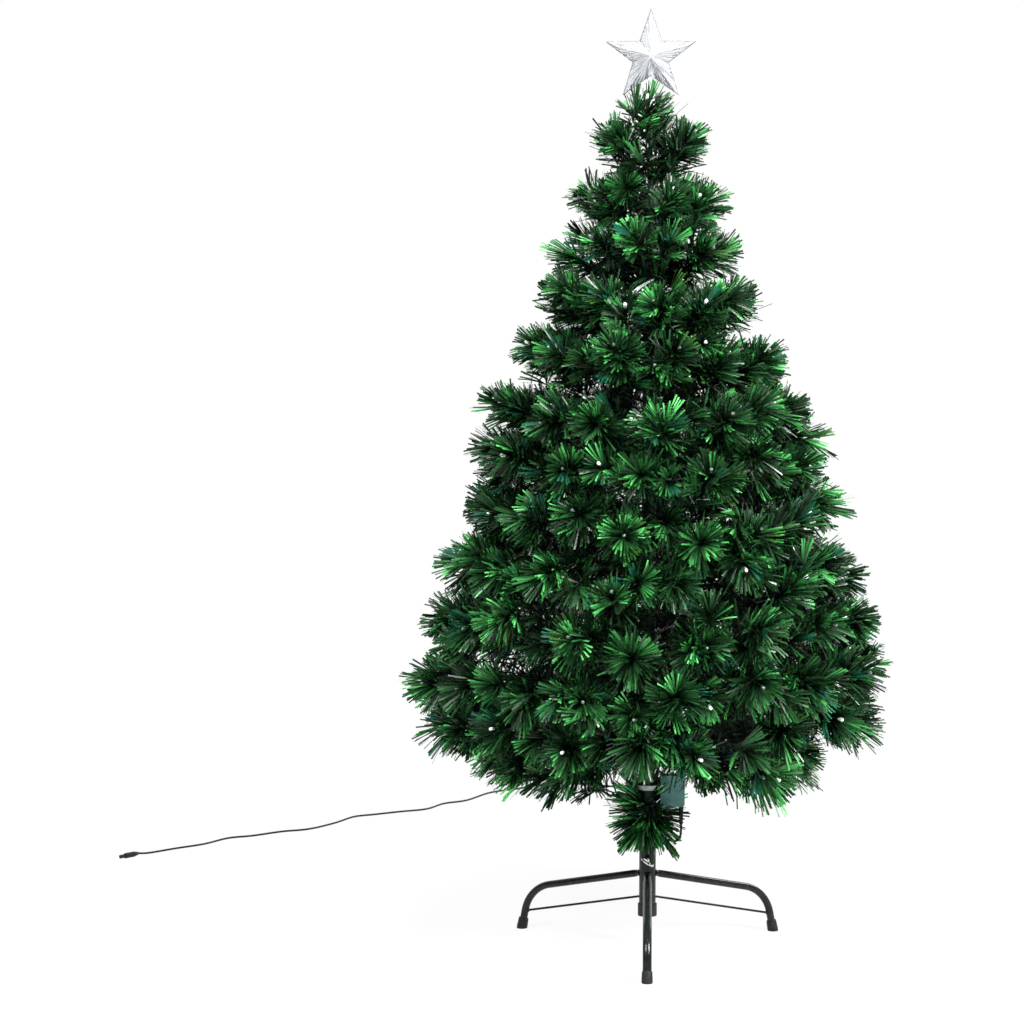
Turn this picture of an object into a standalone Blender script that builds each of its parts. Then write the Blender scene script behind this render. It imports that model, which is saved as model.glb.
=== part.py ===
"""A fiber optic christmas tree, in metres, +Z up, with its origin on the floor under the pole.

A welded three-leg stand holds the pole, which a clamp screw locks. Stem roots on the pole carry
branches in tiers, each branch with two rows of needle tufts, and a clear star tops the leader rod.
"""

import math
from collections import namedtuple

import bmesh
import bpy
from mathutils import Matrix, Vector

for old in list(bpy.data.objects):
    bpy.data.objects.remove(old)

# Whole tree

tree_height = 1.200
foliage_radius = 0.288
fit_gap = 0.0003
smooth_angle = math.radians(35)

# Stand tube, its end cup and the pole

pole_radius = 0.0091
socket_play = 0.00045
tube_wall = 0.00125
tube_top_height = 0.135
tube_length = 0.0917
cup_floor = 0.002
cup_wall = 0.0012
cup_height = 0.0155

# Legs, braces and feet

leg_width = 0.0112
leg_thickness = 0.0094
leg_root_drop = 0.0395
ankle_height = 0.0242
leg_fall_share = 0.622
leg_bend_share = 0.701
leg_pinch_length = 0.008
leg_pinch_share = 0.62
foot_circle_radius = 0.192
foot_splay = math.radians(78)
foot_cap_height = 0.0145
foot_floor = 0.003
foot_wall = 0.0008
brace_radius = 0.0015
brace_root_drop = 0.0705
brace_end_drop = 0.0032
leg_azimuths = {"front": -90, "left": 150, "right": 30}

# Clamp screw

screw_radius = 0.0025
screw_drop = 0.0185
boss_width = 0.0095
boss_depth = 0.005
shank_free_length = 0.0035
eye_radius = 0.008
eye_wire_radius = 0.0015
eye_stem_length = 0.003
eye_roll = math.radians(33)
eye_start = math.radians(22)
eye_end = math.radians(330)
eye_steps = 18

# Leader rod and star

leader_radius = 0.003
leader_taper_length = 0.010
star_points = 5
star_radius = 0.0605
star_waist_share = 0.40
star_half_depth = 0.013
star_wall = 0.0012
socket_wall = 0.0015
socket_roof = 0.002
socket_length = 0.050
socket_top_drop = 0.015

# Stem roots on the pole and the tufts

root_depth = 0.008
root_height = 0.012
root_bulge = 0.001
root_angle_share = 0.40
root_angle_limit = math.radians(32)
neck_radius = 0.0035
tuft_fill_share = 0.475
tuft_radius_limit = 0.042
tuft_length_share = 2.1
tuft_rim_share = 0.40
tuft_front_share = 0.40
tuft_front_width_share = 0.52
tuft_hollow_share = 0.20
strand_length = 0.012
strand_spread = math.radians(24)
strand_end_share = 0.30

# Heights are shares of the way from the lowest hub to the tree's top, reaches shares of the
# foliage radius, and tilts and turns degrees

Row = namedtuple("Row", "height_share reach_share tilt")
Tier = namedtuple("Tier", "name branches columns strands turn hub_share low high")
tier_shares = (
    Tier("tier1", 6, 3, 2, 22, 0.0000, Row(0.0080, 0.700, -14), Row(0.0600, 0.950, -5)),
    Tier("tier2", 6, 3, 2, 2, 0.0940, Row(0.1225, 1.000, 1), Row(0.1910, 0.940, 6)),
    Tier("tier3", 6, 3, 2, 42, 0.2304, Row(0.2618, 0.860, 10), Row(0.3350, 0.785, 14)),
    Tier("tier4", 5, 3, 2, 8, 0.3667, Row(0.4084, 0.730, 18), Row(0.4785, 0.640, 22)),
    Tier("tier5", 4, 3, 1, 20, 0.5024, Row(0.5518, 0.525, 26), Row(0.6230, 0.430, 31)),
    Tier("tier6", 3, 2, 1, 0, 0.6387, Row(0.6959, 0.350, 36), Row(0.7625, 0.280, 42)),
)
leader_hub_share = 0.7424
leader_strands = 1
leader_sides = 6
leader_tuft_limit = 0.0245
leader_row_shares = (
    (30, Row(0.8341, 0.205, 50)),
    (90, Row(0.8769, 0.112, 76)),
    (150, Row(0.8341, 0.205, 50)),
    (210, Row(0.8341, 0.205, 50)),
    (270, Row(0.8819, 0.112, 76)),
    (330, Row(0.8341, 0.205, 50)),
)

# Needles wound round the pole's foot, with rises above their own lower end

garland_lift = 0.0125
bulge_low_rise = 0.0095
bulge_high_rise = 0.0265
garland_neck_rise = 0.0425
garland_top_rise = 0.0705
garland_foot_radius = 0.0130
garland_bulge_radius = 0.0205
garland_neck_radius = 0.0142
garland_sides = 16
garland_strand_length = 0.031
garland_strand_share = 0.42
garland_side_sink = math.radians(10)
garland_foot_sink = math.radians(42)
garland_clear_side = (-92, 28)
garland_clear_foot = (-92, 118)

# Stem tie, light box and its leads

tie_rise = 0.059
tie_depth = 0.006
tie_thickness = 0.0016
box_width = 0.031
box_tall = 0.040
box_half_depth = 0.009
box_wall = 0.0014
box_corner = 0.003
box_inner_corner = 0.0016
box_lift = 0.011
hub_room = 0.014
box_front_shift = 0.002
board_thickness = 0.0016
relief_top_radius = 0.0032
relief_end_radius = 0.0023
relief_length = 0.024
relief_inset = 0.0045
lead_radius = 0.0015
wire_radius = 0.0008
clip_width = 0.008
clip_depth = 0.0085
clip_tall = 0.0075
clip_corner = 0.0014
clip_lift = 0.0035

# The box lead, as shares of the way in from relief to clip and back, and rises above the clip

LeadPoint = namedtuple("LeadPoint", "in_share back_share rise")
box_lead_shares = (
    LeadPoint(0.000, 0.000, 0.0141),
    LeadPoint(0.040, 0.087, 0.0045),
    LeadPoint(0.195, 0.436, -0.0015),
    LeadPoint(0.466, 1.000, -0.0015),
    LeadPoint(0.845, 1.000, 0.0035),
)
box_lead_points = 22

# The thin lead, as room from the bulge, azimuth and rise above the wound needles' lower end

WirePoint = namedtuple("WirePoint", "room azimuth rise")
led_lead_inset = 0.009
led_lead_route = (
    WirePoint(0.0050, -4, 0.0308),
    WirePoint(0.0056, -24, 0.0265),
    WirePoint(0.0024, -44, 0.0095),
    WirePoint(0.0024, -62, 0.0265),
    WirePoint(0.0008, -70, 0.0425),
)
led_lead_azimuth = -74
led_lead_points = 26

# Cord, down the back of the tube as (room, share of the clip's height), then on the floor

cord_radius = 0.0015
cord_points = 78
floor_gap = 0.0001
cord_drop_shares = ((0.0000, 0.870), (0.0010, 0.500), (0.0050, 0.217), (0.0180, 0.054))
cord_route = (
    (0.0005, 0.0600),
    (0.0010, 0.1500),
    (0.0020, 0.3000),
    (0.0080, 0.5000),
    (0.0040, 0.7000),
    (0.0020, 0.9000),
    (-0.0060, 1.0200),
    (-0.0350, 1.1050),
    (-0.0950, 1.1400),
    (-0.1500, 1.1500),
    (-0.1850, 1.1300),
    (-0.2150, 1.0980),
    (-0.2600, 1.0600),
    (-0.2950, 0.9900),
    (-0.3300, 0.9600),
    (-0.3550, 0.9120),
    (-0.3950, 0.8880),
    (-0.4350, 0.8620),
    (-0.4650, 0.8420),
    (-0.4900, 0.7900),
    (-0.5250, 0.7400),
    (-0.5650, 0.7180),
    (-0.6050, 0.6840),
    (-0.6400, 0.6640),
    (-0.6700, 0.6180),
    (-0.7080, 0.5830),
    (-0.7420, 0.5490),
)
plug_neck_radius = 0.0022
plug_radius = 0.0040
plug_neck_length = 0.008
plug_body_length = 0.017
plug_sleeve_radius = 0.00275
plug_sleeve_length = 0.0095
plug_spot = (-0.7560, 0.5330)
plug_heading = (-0.64, -0.77)

# Counts of sides on round pieces

round_sides = 24
small_sides = 12
leg_sides = 12
bend_steps = 6
corner_steps = 2
route_steps = 24

# Places worked out from the sizes above

tube_bore_radius = pole_radius + socket_play
tube_radius = tube_bore_radius + tube_wall
tube_bottom_height = tube_top_height - tube_length
cup_under_height = tube_bottom_height - fit_gap - cup_floor
pole_bottom_height = tube_bottom_height
screw_height = tube_top_height - screw_drop
leg_root_height = tube_top_height - leg_root_drop
leg_rise = leg_root_height - ankle_height
leg_slope = math.atan(leg_fall_share * leg_rise / foot_circle_radius)
leg_bend_radius = leg_bend_share * leg_rise
brace_root_height = tube_top_height - brace_root_drop
brace_end_height = ankle_height - brace_end_drop
clip_height = tube_top_height + clip_lift
garland_foot_height = tube_top_height + garland_lift
bulge_low_height = garland_foot_height + bulge_low_rise
bulge_high_height = garland_foot_height + bulge_high_rise
box_under_height = bulge_high_height + box_lift
tie_height = garland_foot_height + tie_rise
lowest_hub_height = box_under_height + box_tall + hub_room + root_height / 2
star_centre_height = tree_height - star_radius
socket_bore_radius = leader_radius + fit_gap
socket_radius = socket_bore_radius + socket_wall
socket_top_height = star_centre_height - socket_top_drop + socket_roof
leader_top_height = socket_top_height - socket_roof - fit_gap
leader_hub_height = lowest_hub_height + leader_hub_share * (tree_height - lowest_hub_height)
pole_shoulder_height = leader_hub_height + root_height
tie_inner_radius = garland_neck_radius + fit_gap
tie_radius = tie_inner_radius + tie_thickness
box_near_side = tie_radius + fit_gap
box_middle = box_near_side + box_width / 2

Paint = namedtuple("Paint", "colour roughness metallic")
black_paint = Paint((0.012, 0.014, 0.014), 0.28, 0.3)
black_plastic = Paint((0.014, 0.015, 0.016), 0.5, 0.0)
chrome = Paint((0.80, 0.81, 0.82), 0.12, 1.0)
needle_green = Paint((0.012, 0.125, 0.040), 0.45, 0.0)
pole_green = Paint((0.010, 0.050, 0.022), 0.45, 0.2)
clear_plastic = Paint((0.93, 0.95, 0.96), 0.08, 0.0)
box_teal = Paint((0.020, 0.115, 0.095), 0.40, 0.0)
board_green = Paint((0.020, 0.160, 0.060), 0.50, 0.0)
tie_grey = Paint((0.55, 0.58, 0.56), 0.45, 0.0)


def material(name, paint):
    """A plain Principled material of the piece's own."""
    made = bpy.data.materials.new(name)
    made.use_nodes = True
    shader = made.node_tree.nodes["Principled BSDF"]
    shader.inputs["Base Color"].default_value = (*paint.colour, 1)
    shader.inputs["Roughness"].default_value = paint.roughness
    shader.inputs["Metallic"].default_value = paint.metallic
    return made


def add_object(name, data, paint, place=None):
    """Puts a mesh or curve in the scene under its node name."""
    piece = bpy.data.objects.new(name, data)
    bpy.context.scene.collection.objects.link(piece)
    if place is not None:
        piece.matrix_world = place
    if not data.materials:
        data.materials.append(material(name, paint))
    return piece


def finished(name, shape, smooth=True):
    """Turns a bmesh into a mesh with outward faces, round where its edges are shallow."""
    bmesh.ops.recalc_face_normals(shape, faces=shape.faces)
    if shape.calc_volume(signed=True) < 0:
        bmesh.ops.reverse_faces(shape, faces=shape.faces)
    mesh = bpy.data.meshes.new(name)
    shape.to_mesh(mesh)
    shape.free()
    if smooth:
        mesh.shade_smooth()
        mesh.set_sharp_from_angle(angle=smooth_angle)
    return mesh


def ring(shape, points):
    return [shape.verts.new(point) for point in points]


def bridge(shape, first, second):
    """Joins two rings of equal count with a band of faces."""
    count = len(first)
    for i in range(count):
        j = (i + 1) % count
        shape.faces.new((first[i], first[j], second[j], second[i]))


def circle(radius, height, sides):
    steps = [2 * math.pi * i / sides for i in range(sides)]
    return [(radius * math.cos(a), radius * math.sin(a), height) for a in steps]


def polygon(reach, height, corners):
    """A regular polygon's corners and the middles of its edges, in turn."""
    half = math.pi / corners
    reaches = [reach * (math.cos(half) if k % 2 else 1) for k in range(2 * corners)]
    return [(r * math.cos(half * k), r * math.sin(half * k), height) for k, r in enumerate(reaches)]


def turned(name, profile, sides, hollow=False):
    """A profile of (radius, height) pairs turned about Z, closed on itself if hollow."""
    shape = bmesh.new()
    rings = [ring(shape, circle(radius, height, sides)) for radius, height in profile]
    for first, second in zip(rings, rings[1:]):
        bridge(shape, first, second)
    if hollow:
        bridge(shape, rings[-1], rings[0])
    else:
        shape.faces.new(rings[0])
        shape.faces.new(rings[-1])
    return finished(name, shape)


def swept(name, path, halves, side, sides):
    """A solid along path with an oval section of (half width, half thickness) at each point."""
    shape = bmesh.new()
    rings = []
    for i, point in enumerate(path):
        ahead = path[min(i + 1, len(path) - 1)] - path[max(i - 1, 0)]
        up = ahead.cross(side).normalized()
        wide, thick = halves[i]
        turns = [2 * math.pi * k / sides for k in range(sides)]
        section = [point + side * wide * math.cos(a) + up * thick * math.sin(a) for a in turns]
        rings.append(ring(shape, section))
    for first, second in zip(rings, rings[1:]):
        bridge(shape, first, second)
    shape.faces.new(rings[0])
    shape.faces.new(rings[-1])
    return finished(name, shape)


def smooth_route(chosen, count):
    """Evenly spaced points on the smooth curve through chosen points."""
    chosen = [Vector(point) for point in chosen]
    padded = [2 * chosen[0] - chosen[1], *chosen, 2 * chosen[-1] - chosen[-2]]
    fine = []
    for a, b, c, d in zip(padded, padded[1:], padded[2:], padded[3:]):
        for k in range(route_steps):
            t = k / route_steps
            bend = (2 * a - 5 * b + 4 * c - d) * t * t + (3 * b - a - 3 * c + d) * t * t * t
            fine.append((2 * b + (c - a) * t + bend) / 2)
    fine.append(chosen[-1])
    gone = [0.0]
    for p, q in zip(fine, fine[1:]):
        gone.append(gone[-1] + (q - p).length)
    spaced, k = [], 0
    for i in range(count):
        want = gone[-1] * i / (count - 1)
        while k < len(gone) - 2 and gone[k + 1] < want:
            k += 1
        share = (want - gone[k]) / (gone[k + 1] - gone[k])
        spaced.append(fine[k].lerp(fine[k + 1], min(share, 1)))
    return spaced


def tube_along(name, points, radius, paint):
    """A round tube on a poly spline with filled ends."""
    curve = bpy.data.curves.new(name, "CURVE")
    curve.dimensions = "3D"
    curve.bevel_depth = radius
    curve.bevel_resolution = 2
    curve.use_fill_caps = True
    spline = curve.splines.new("POLY")
    spline.points.add(len(points) - 1)
    for spot, point in zip(spline.points, points):
        spot.co = (*point, 1)
    return add_object(name, curve, paint)


def cut(piece, cutter):
    """Takes cutter's shape out of piece, and leaves cutter as a wire guide."""
    cutter.hide_render = True
    cutter.display_type = "WIRE"
    step = piece.modifiers.new("cut", "BOOLEAN")
    step.operation = "DIFFERENCE"
    step.solver = "EXACT"
    step.object = cutter


# Stand


def make_tube():
    tube_profile = [
        (tube_bore_radius, tube_bottom_height),
        (tube_radius, tube_bottom_height),
        (tube_radius, tube_top_height),
        (tube_bore_radius, tube_top_height),
    ]
    tube = add_object("socket_tube", turned("socket_tube", tube_profile, round_sides, True), black_paint)
    hole_radius = screw_radius + fit_gap
    hole_profile = [(hole_radius, 0), (hole_radius, 2 * tube_radius)]
    drill = add_object("screw_hole", turned("screw_hole", hole_profile, small_sides), black_paint)
    drill.matrix_world = screw_place()
    cut(tube, drill)
    cup_bore = tube_radius + fit_gap
    cup_radius = cup_bore + cup_wall
    cup_top = cup_under_height + cup_height
    cup_profile = [
        (cup_radius, cup_under_height),
        (cup_radius, cup_top),
        (cup_bore, cup_top),
        (cup_bore, cup_under_height + cup_floor),
    ]
    add_object("tube_end_cap", turned("tube_end_cap", cup_profile, round_sides), black_plastic)


def foot_axis():
    """The foot's point on the floor and the leg's direction up from it, in the leg's own plane."""
    on_floor = Vector((foot_circle_radius, 0, 0))
    upward = Vector((-math.cos(foot_splay), 0, math.sin(foot_splay)))
    return on_floor, upward


def leg_path():
    """The leg's middle line: a sloping arm, one bend, and a steep end in the foot cap."""
    on_floor, upward = foot_axis()
    root = Vector((tube_radius + fit_gap + leg_thickness / 2 * math.tan(leg_slope), 0, leg_root_height))
    end = on_floor + upward * (foot_floor + fit_gap)
    arm = Vector((math.cos(leg_slope), 0, -math.sin(leg_slope)))
    bend_wide = leg_bend_radius * (math.sin(foot_splay) - math.sin(leg_slope))
    bend_deep = leg_bend_radius * (math.cos(leg_slope) - math.cos(foot_splay))
    rest = end - root - Vector((bend_wide, 0, -bend_deep))
    drop = -upward
    across = arm.x * drop.z - arm.z * drop.x
    arm_length = (rest.x * drop.z - rest.z * drop.x) / across
    bend_start = root + arm * arm_length
    path = [root, root + arm * leg_pinch_length, root.lerp(bend_start, 1 / 2), bend_start]
    for k in range(1, bend_steps + 1):
        angle = leg_slope + (foot_splay - leg_slope) * k / bend_steps
        wide = leg_bend_radius * (math.sin(angle) - math.sin(leg_slope))
        deep = leg_bend_radius * (math.cos(leg_slope) - math.cos(angle))
        path.append(bend_start + Vector((wide, 0, -deep)))
    return [*path, end]


def make_foot_cap():
    """A cup round the leg's end, along the leg, with a flat face on the floor."""
    on_floor, upward = foot_axis()
    side = Vector((0, 1, 0))
    across = side.cross(upward)
    bore = leg_width / 2 + fit_gap
    outer = bore + foot_wall
    turns = [2 * math.pi * k / round_sides for k in range(round_sides)]
    spokes = [side * math.cos(a) + across * math.sin(a) for a in turns]
    shape = bmesh.new()
    sole = []
    for spoke in spokes:
        point = on_floor + spoke * outer
        sole.append(shape.verts.new(point - upward * (point.z / upward.z)))
    rim = ring(shape, [on_floor + spoke * outer + upward * foot_cap_height for spoke in spokes])
    lip = ring(shape, [on_floor + spoke * bore + upward * foot_cap_height for spoke in spokes])
    seat = ring(shape, [on_floor + spoke * bore + upward * foot_floor for spoke in spokes])
    bridge(shape, sole, rim)
    bridge(shape, rim, lip)
    bridge(shape, lip, seat)
    shape.faces.new(sole)
    shape.faces.new(seat)
    return finished("foot_cap", shape)


def make_legs():
    path = leg_path()
    full = (leg_width / 2, leg_thickness / 2)
    pinched = (full[0] * leg_pinch_share, full[1] * leg_pinch_share)
    halves = [pinched] + [full] * (len(path) - 1)
    side = Vector((0, 1, 0))
    leg_mesh = swept("leg", path, halves, side, leg_sides)
    cap_mesh = make_foot_cap()
    on_floor, upward = foot_axis()
    inner_face = on_floor.x - leg_thickness / 2 / upward.z - brace_end_height / math.tan(foot_splay)
    brace_slope = (brace_root_height - brace_end_height) / foot_circle_radius
    corner_room = brace_radius * (1 / math.tan(foot_splay) + brace_slope)
    brace_start = Vector((tube_radius + fit_gap + brace_radius * brace_slope, 0, brace_root_height))
    brace_end = Vector((inner_face - fit_gap - corner_room, 0, brace_end_height))
    thin = [(brace_radius, brace_radius)] * 2
    brace_mesh = swept("brace", [brace_start, brace_end], thin, side, small_sides)
    for side_name, azimuth in leg_azimuths.items():
        turn = Matrix.Rotation(math.radians(azimuth), 4, "Z")
        add_object(f"leg_{side_name}", leg_mesh.copy(), black_paint, turn)
        add_object(f"brace_{side_name}", brace_mesh.copy(), black_paint, turn)
        add_object(f"foot_{side_name}", cap_mesh.copy(), black_plastic, turn)


def screw_place():
    """The screw's own frame: its Z axis runs out of the tube to the front."""
    return Matrix.Translation((0, 0, screw_height)) @ Matrix.Rotation(math.pi / 2, 4, "X")


def make_screw():
    """The welded nut, the threaded shank and the bent eye, along the front of the tube."""
    boss_start = tube_radius + fit_gap
    boss_end = boss_start + boss_depth
    bore = screw_radius + fit_gap
    nut = bmesh.new()
    rings = [
        ring(nut, circle(bore, boss_start, small_sides)),
        ring(nut, polygon(boss_width / 2, boss_start, small_sides // 2)),
        ring(nut, polygon(boss_width / 2, boss_end, small_sides // 2)),
        ring(nut, circle(bore, boss_end, small_sides)),
    ]
    for first, second in zip(rings, rings[1:] + rings[:1]):
        bridge(nut, first, second)
    add_object("screw_boss", finished("screw_boss", nut), black_paint, screw_place())
    shank_start = pole_radius + fit_gap
    shank_end = boss_end + shank_free_length
    shank_profile = [(screw_radius, shank_start), (screw_radius, shank_end)]
    add_object("screw_shank", turned("screw_shank", shank_profile, small_sides), chrome, screw_place())
    stem_start = shank_end + fit_gap
    eye_middle = stem_start + eye_stem_length + eye_radius
    side = Vector((math.sin(eye_roll), 0, math.cos(eye_roll)))
    spread = Vector((math.cos(eye_roll), 0, -math.sin(eye_roll)))
    outward = Vector((0, -1, 0))
    path = [outward * stem_start, outward * (stem_start + eye_stem_length - eye_wire_radius)]
    for k in range(eye_steps + 1):
        angle = math.pi + eye_start + (eye_end - eye_start) * k / eye_steps
        along = eye_middle + eye_radius * math.cos(angle)
        path.append(outward * along + spread * eye_radius * math.sin(angle))
    halves = [(eye_wire_radius, eye_wire_radius)] * len(path)
    place = Matrix.Translation((0, 0, screw_height))
    add_object("screw_eye", swept("screw_eye", path, halves, side, small_sides), chrome, place)


# Pole, leads and light box


def make_pole():
    profile = [
        (pole_radius, pole_bottom_height),
        (pole_radius, pole_shoulder_height),
        (leader_radius, pole_shoulder_height + leader_taper_length),
        (leader_radius, leader_top_height),
    ]
    add_object("trunk_pole", turned("trunk_pole", profile, round_sides), pole_green)


def rounded_outline(inset, corner):
    """The light box's corner-rounded outline seen from the front, drawn in by inset."""
    reach_x = box_width / 2 - inset - corner
    reach_z = box_tall / 2 - inset - corner
    points = []
    for quarter, (sign_x, sign_z) in enumerate(((1, 1), (-1, 1), (-1, -1), (1, -1))):
        for k in range(corner_steps + 1):
            angle = math.pi / 2 * (quarter + k / corner_steps)
            x = sign_x * reach_x + corner * math.cos(angle)
            points.append((x, sign_z * reach_z + corner * math.sin(angle)))
    return points


def make_tray(name, split, back, paint):
    """Half of the light box: an open tray from the split plane to its flat back, at given y."""
    outer = rounded_outline(0, box_corner)
    inner = rounded_outline(box_wall, box_inner_corner)
    floor = back + math.copysign(box_wall, split - back)
    middle = Vector((box_middle, 0, box_under_height + box_tall / 2))
    shape = bmesh.new()
    base = ring(shape, [middle + Vector((x, back, z)) for x, z in outer])
    edge = ring(shape, [middle + Vector((x, split, z)) for x, z in outer])
    lip = ring(shape, [middle + Vector((x, split, z)) for x, z in inner])
    well = ring(shape, [middle + Vector((x, floor, z)) for x, z in inner])
    bridge(shape, base, edge)
    bridge(shape, edge, lip)
    bridge(shape, lip, well)
    shape.faces.new(base)
    shape.faces.new(well)
    add_object(name, finished(name, shape), paint)


def make_light_box():
    middle = -box_front_shift
    make_tray("light_box_front", middle - fit_gap / 2, middle - box_half_depth, box_teal)
    make_tray("light_box_back", middle + fit_gap / 2, middle + box_half_depth, box_teal)
    outline = rounded_outline(box_wall + fit_gap, box_inner_corner)
    shape = bmesh.new()
    centre = Vector((box_middle, middle, box_under_height + box_tall / 2))
    faces = []
    for y in (-board_thickness / 2, board_thickness / 2):
        faces.append(ring(shape, [centre + Vector((x, y, z)) for x, z in outline]))
    bridge(shape, *faces)
    for face in faces:
        shape.faces.new(face)
    add_object("light_board", finished("light_board", shape), board_green)


def relief_axis():
    return box_near_side + box_width - relief_inset, -box_front_shift


def make_leads():
    x, y = relief_axis()
    top = box_under_height - fit_gap
    end = top - relief_length
    profile = [(relief_end_radius, end), (relief_top_radius, top)]
    place = Matrix.Translation((x, y, 0))
    add_object("lead_relief", turned("lead_relief", profile, small_sides), black_plastic, place)
    clip_start = pole_radius + fit_gap
    clip_middle = clip_start + clip_depth / 2
    clip_mid_height = clip_height + clip_tall / 2
    start = Vector((x, y, end - fit_gap))
    stop = Vector((clip_width / 2 + fit_gap, clip_middle + lead_radius, clip_mid_height))
    way = Vector((clip_width / 2 + fit_gap, clip_middle + lead_radius, 0)) - Vector((x, y, 0))
    route = [start]
    for point in box_lead_shares:
        height = clip_height + point.rise
        route.append(Vector((x + way.x * point.in_share, y + way.y * point.back_share, height)))
    route.append(stop)
    tube_along("box_lead", smooth_route(route, box_lead_points), lead_radius, black_plastic)
    shape = bmesh.new()
    bmesh.ops.create_cube(shape, size=1)
    bmesh.ops.scale(shape, verts=shape.verts, vec=(clip_width, clip_depth, clip_tall))
    upright = [e for e in shape.edges if abs(e.verts[0].co.z - e.verts[1].co.z) > clip_tall / 2]
    round_over = {"offset": clip_corner, "segments": corner_steps, "affect": "EDGES", "profile": 0.5}
    bmesh.ops.bevel(shape, geom=upright, **round_over)
    place = Matrix.Translation((0, clip_middle, clip_mid_height))
    add_object("cord_clip", finished("cord_clip", shape), black_plastic, place)
    route = [Vector((box_near_side + led_lead_inset, y, top))]
    for point in led_lead_route:
        height = garland_foot_height + point.rise
        route.append(polar(garland_bulge_radius + point.room, point.azimuth, height))
    stop = polar(tie_inner_radius + tie_thickness / 2, led_lead_azimuth, tie_height - fit_gap)
    route += [stop - Vector((0, 0, tie_depth)), stop]
    tube_along("led_lead", smooth_route(route, led_lead_points), wire_radius, black_plastic)


def polar(reach, azimuth, height):
    angle = math.radians(azimuth)
    return Vector((reach * math.cos(angle), reach * math.sin(angle), height))


def make_tie():
    profile = [
        (tie_inner_radius, tie_height),
        (tie_radius, tie_height),
        (tie_radius, tie_height + tie_depth),
        (tie_inner_radius, tie_height + tie_depth),
    ]
    add_object("stem_tie", turned("stem_tie", profile, round_sides, True), tie_grey)


def azimuth_of(point):
    return math.degrees(math.atan2(point.y, point.x))


def grow_strand(shape, face, direction, length, share):
    """Draws one face out into a strand that narrows to a share of its width."""
    grown = bmesh.ops.extrude_discrete_faces(shape, faces=[face])["faces"][0]
    middle = grown.calc_center_median()
    for vert in grown.verts:
        vert.co = middle + direction * length + (vert.co - middle) * share
    return grown


def make_garland():
    """Wound needles round the pole's foot, with strands on every other face of its bulge."""
    outline = [
        (pole_radius + fit_gap, garland_foot_height + garland_top_rise),
        (garland_neck_radius, garland_foot_height + garland_top_rise),
        (garland_neck_radius, garland_foot_height + garland_neck_rise),
        (garland_bulge_radius, bulge_high_height),
        (garland_bulge_radius, bulge_low_height),
        (garland_foot_radius, garland_foot_height),
        (pole_radius + fit_gap, garland_foot_height),
    ]
    shape = bmesh.new()
    rings = [ring(shape, circle(radius, height, garland_sides)) for radius, height in outline]
    for first, second in zip(rings, rings[1:] + rings[:1]):
        bridge(shape, first, second)
    bmesh.ops.recalc_face_normals(shape, faces=shape.faces)
    picked = []
    for face in list(shape.faces):
        middle = face.calc_center_median()
        reach = math.hypot(middle.x, middle.y)
        sector = int((azimuth_of(middle) % 360) // (360 / garland_sides))
        on_side = bulge_low_height < middle.z < bulge_high_height and reach > garland_neck_radius
        on_foot = garland_foot_height < middle.z < bulge_low_height and reach > garland_foot_radius
        clear = garland_clear_side if on_side else garland_clear_foot
        chosen = on_side and sector % 2 == 0 or on_foot and sector % 2
        if chosen and not clear[0] < azimuth_of(middle) < clear[1]:
            picked.append((face, on_side))
    for face, on_side in picked:
        middle = face.calc_center_median()
        outward = Vector((middle.x, middle.y, 0)).normalized()
        sink = garland_side_sink if on_side else garland_foot_sink
        direction = outward * math.cos(sink) - Vector((0, 0, math.sin(sink)))
        grow_strand(shape, face, direction, garland_strand_length, garland_strand_share)
    add_object("trunk_garland", finished("trunk_garland", shape, False), needle_green)


# Tips of the branches


def height_at(share):
    return lowest_hub_height + share * (tree_height - lowest_hub_height)


def tip_at(row, azimuth):
    """A tuft's front middle with its axis, its side and its up direction."""
    angle, tilt = math.radians(azimuth), math.radians(row.tilt)
    spot = polar(row.reach_share * foliage_radius, azimuth, height_at(row.height_share))
    axis = Vector((math.cos(tilt) * math.cos(angle), math.cos(tilt) * math.sin(angle), math.sin(tilt)))
    side = Vector((-math.sin(angle), math.cos(angle), 0))
    return spot, axis, side, axis.cross(side)


def row_azimuths(tier, branch, row_shift):
    """The azimuths of one row of a branch, shifted by a quarter pitch against the other row."""
    pitch = 360 / (tier.branches * tier.columns)
    middle = tier.turn + 360 * branch / tier.branches
    first = middle - pitch * (tier.columns - 1) / 2 + row_shift * pitch / 4
    return [first + pitch * k for k in range(tier.columns)]


def every_tip():
    tips = [tip_at(row, azimuth)[0] for azimuth, row in leader_row_shares]
    for tier in tier_shares:
        for branch in range(tier.branches):
            for row, shift in ((tier.low, -1), (tier.high, 1)):
                tips += [tip_at(row, azimuth)[0] for azimuth in row_azimuths(tier, branch, shift)]
    return tips


all_tips = every_tip()


def tuft_radius(spot, limit):
    """A share of the way to the nearest other tuft, so that no two meet."""
    nearest = min((other - spot).length for other in all_tips if (other - spot).length > fit_gap)
    return min(tuft_fill_share * nearest, limit)


def spokes(spot, side, up, radius, corners):
    """The corners of a regular polygon round spot, the first one straight up."""
    turns = [math.pi / 2 + 2 * math.pi * k / corners for k in range(corners)]
    return [spot + (side * math.cos(a) + up * math.sin(a)) * radius for a in turns]


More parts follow.
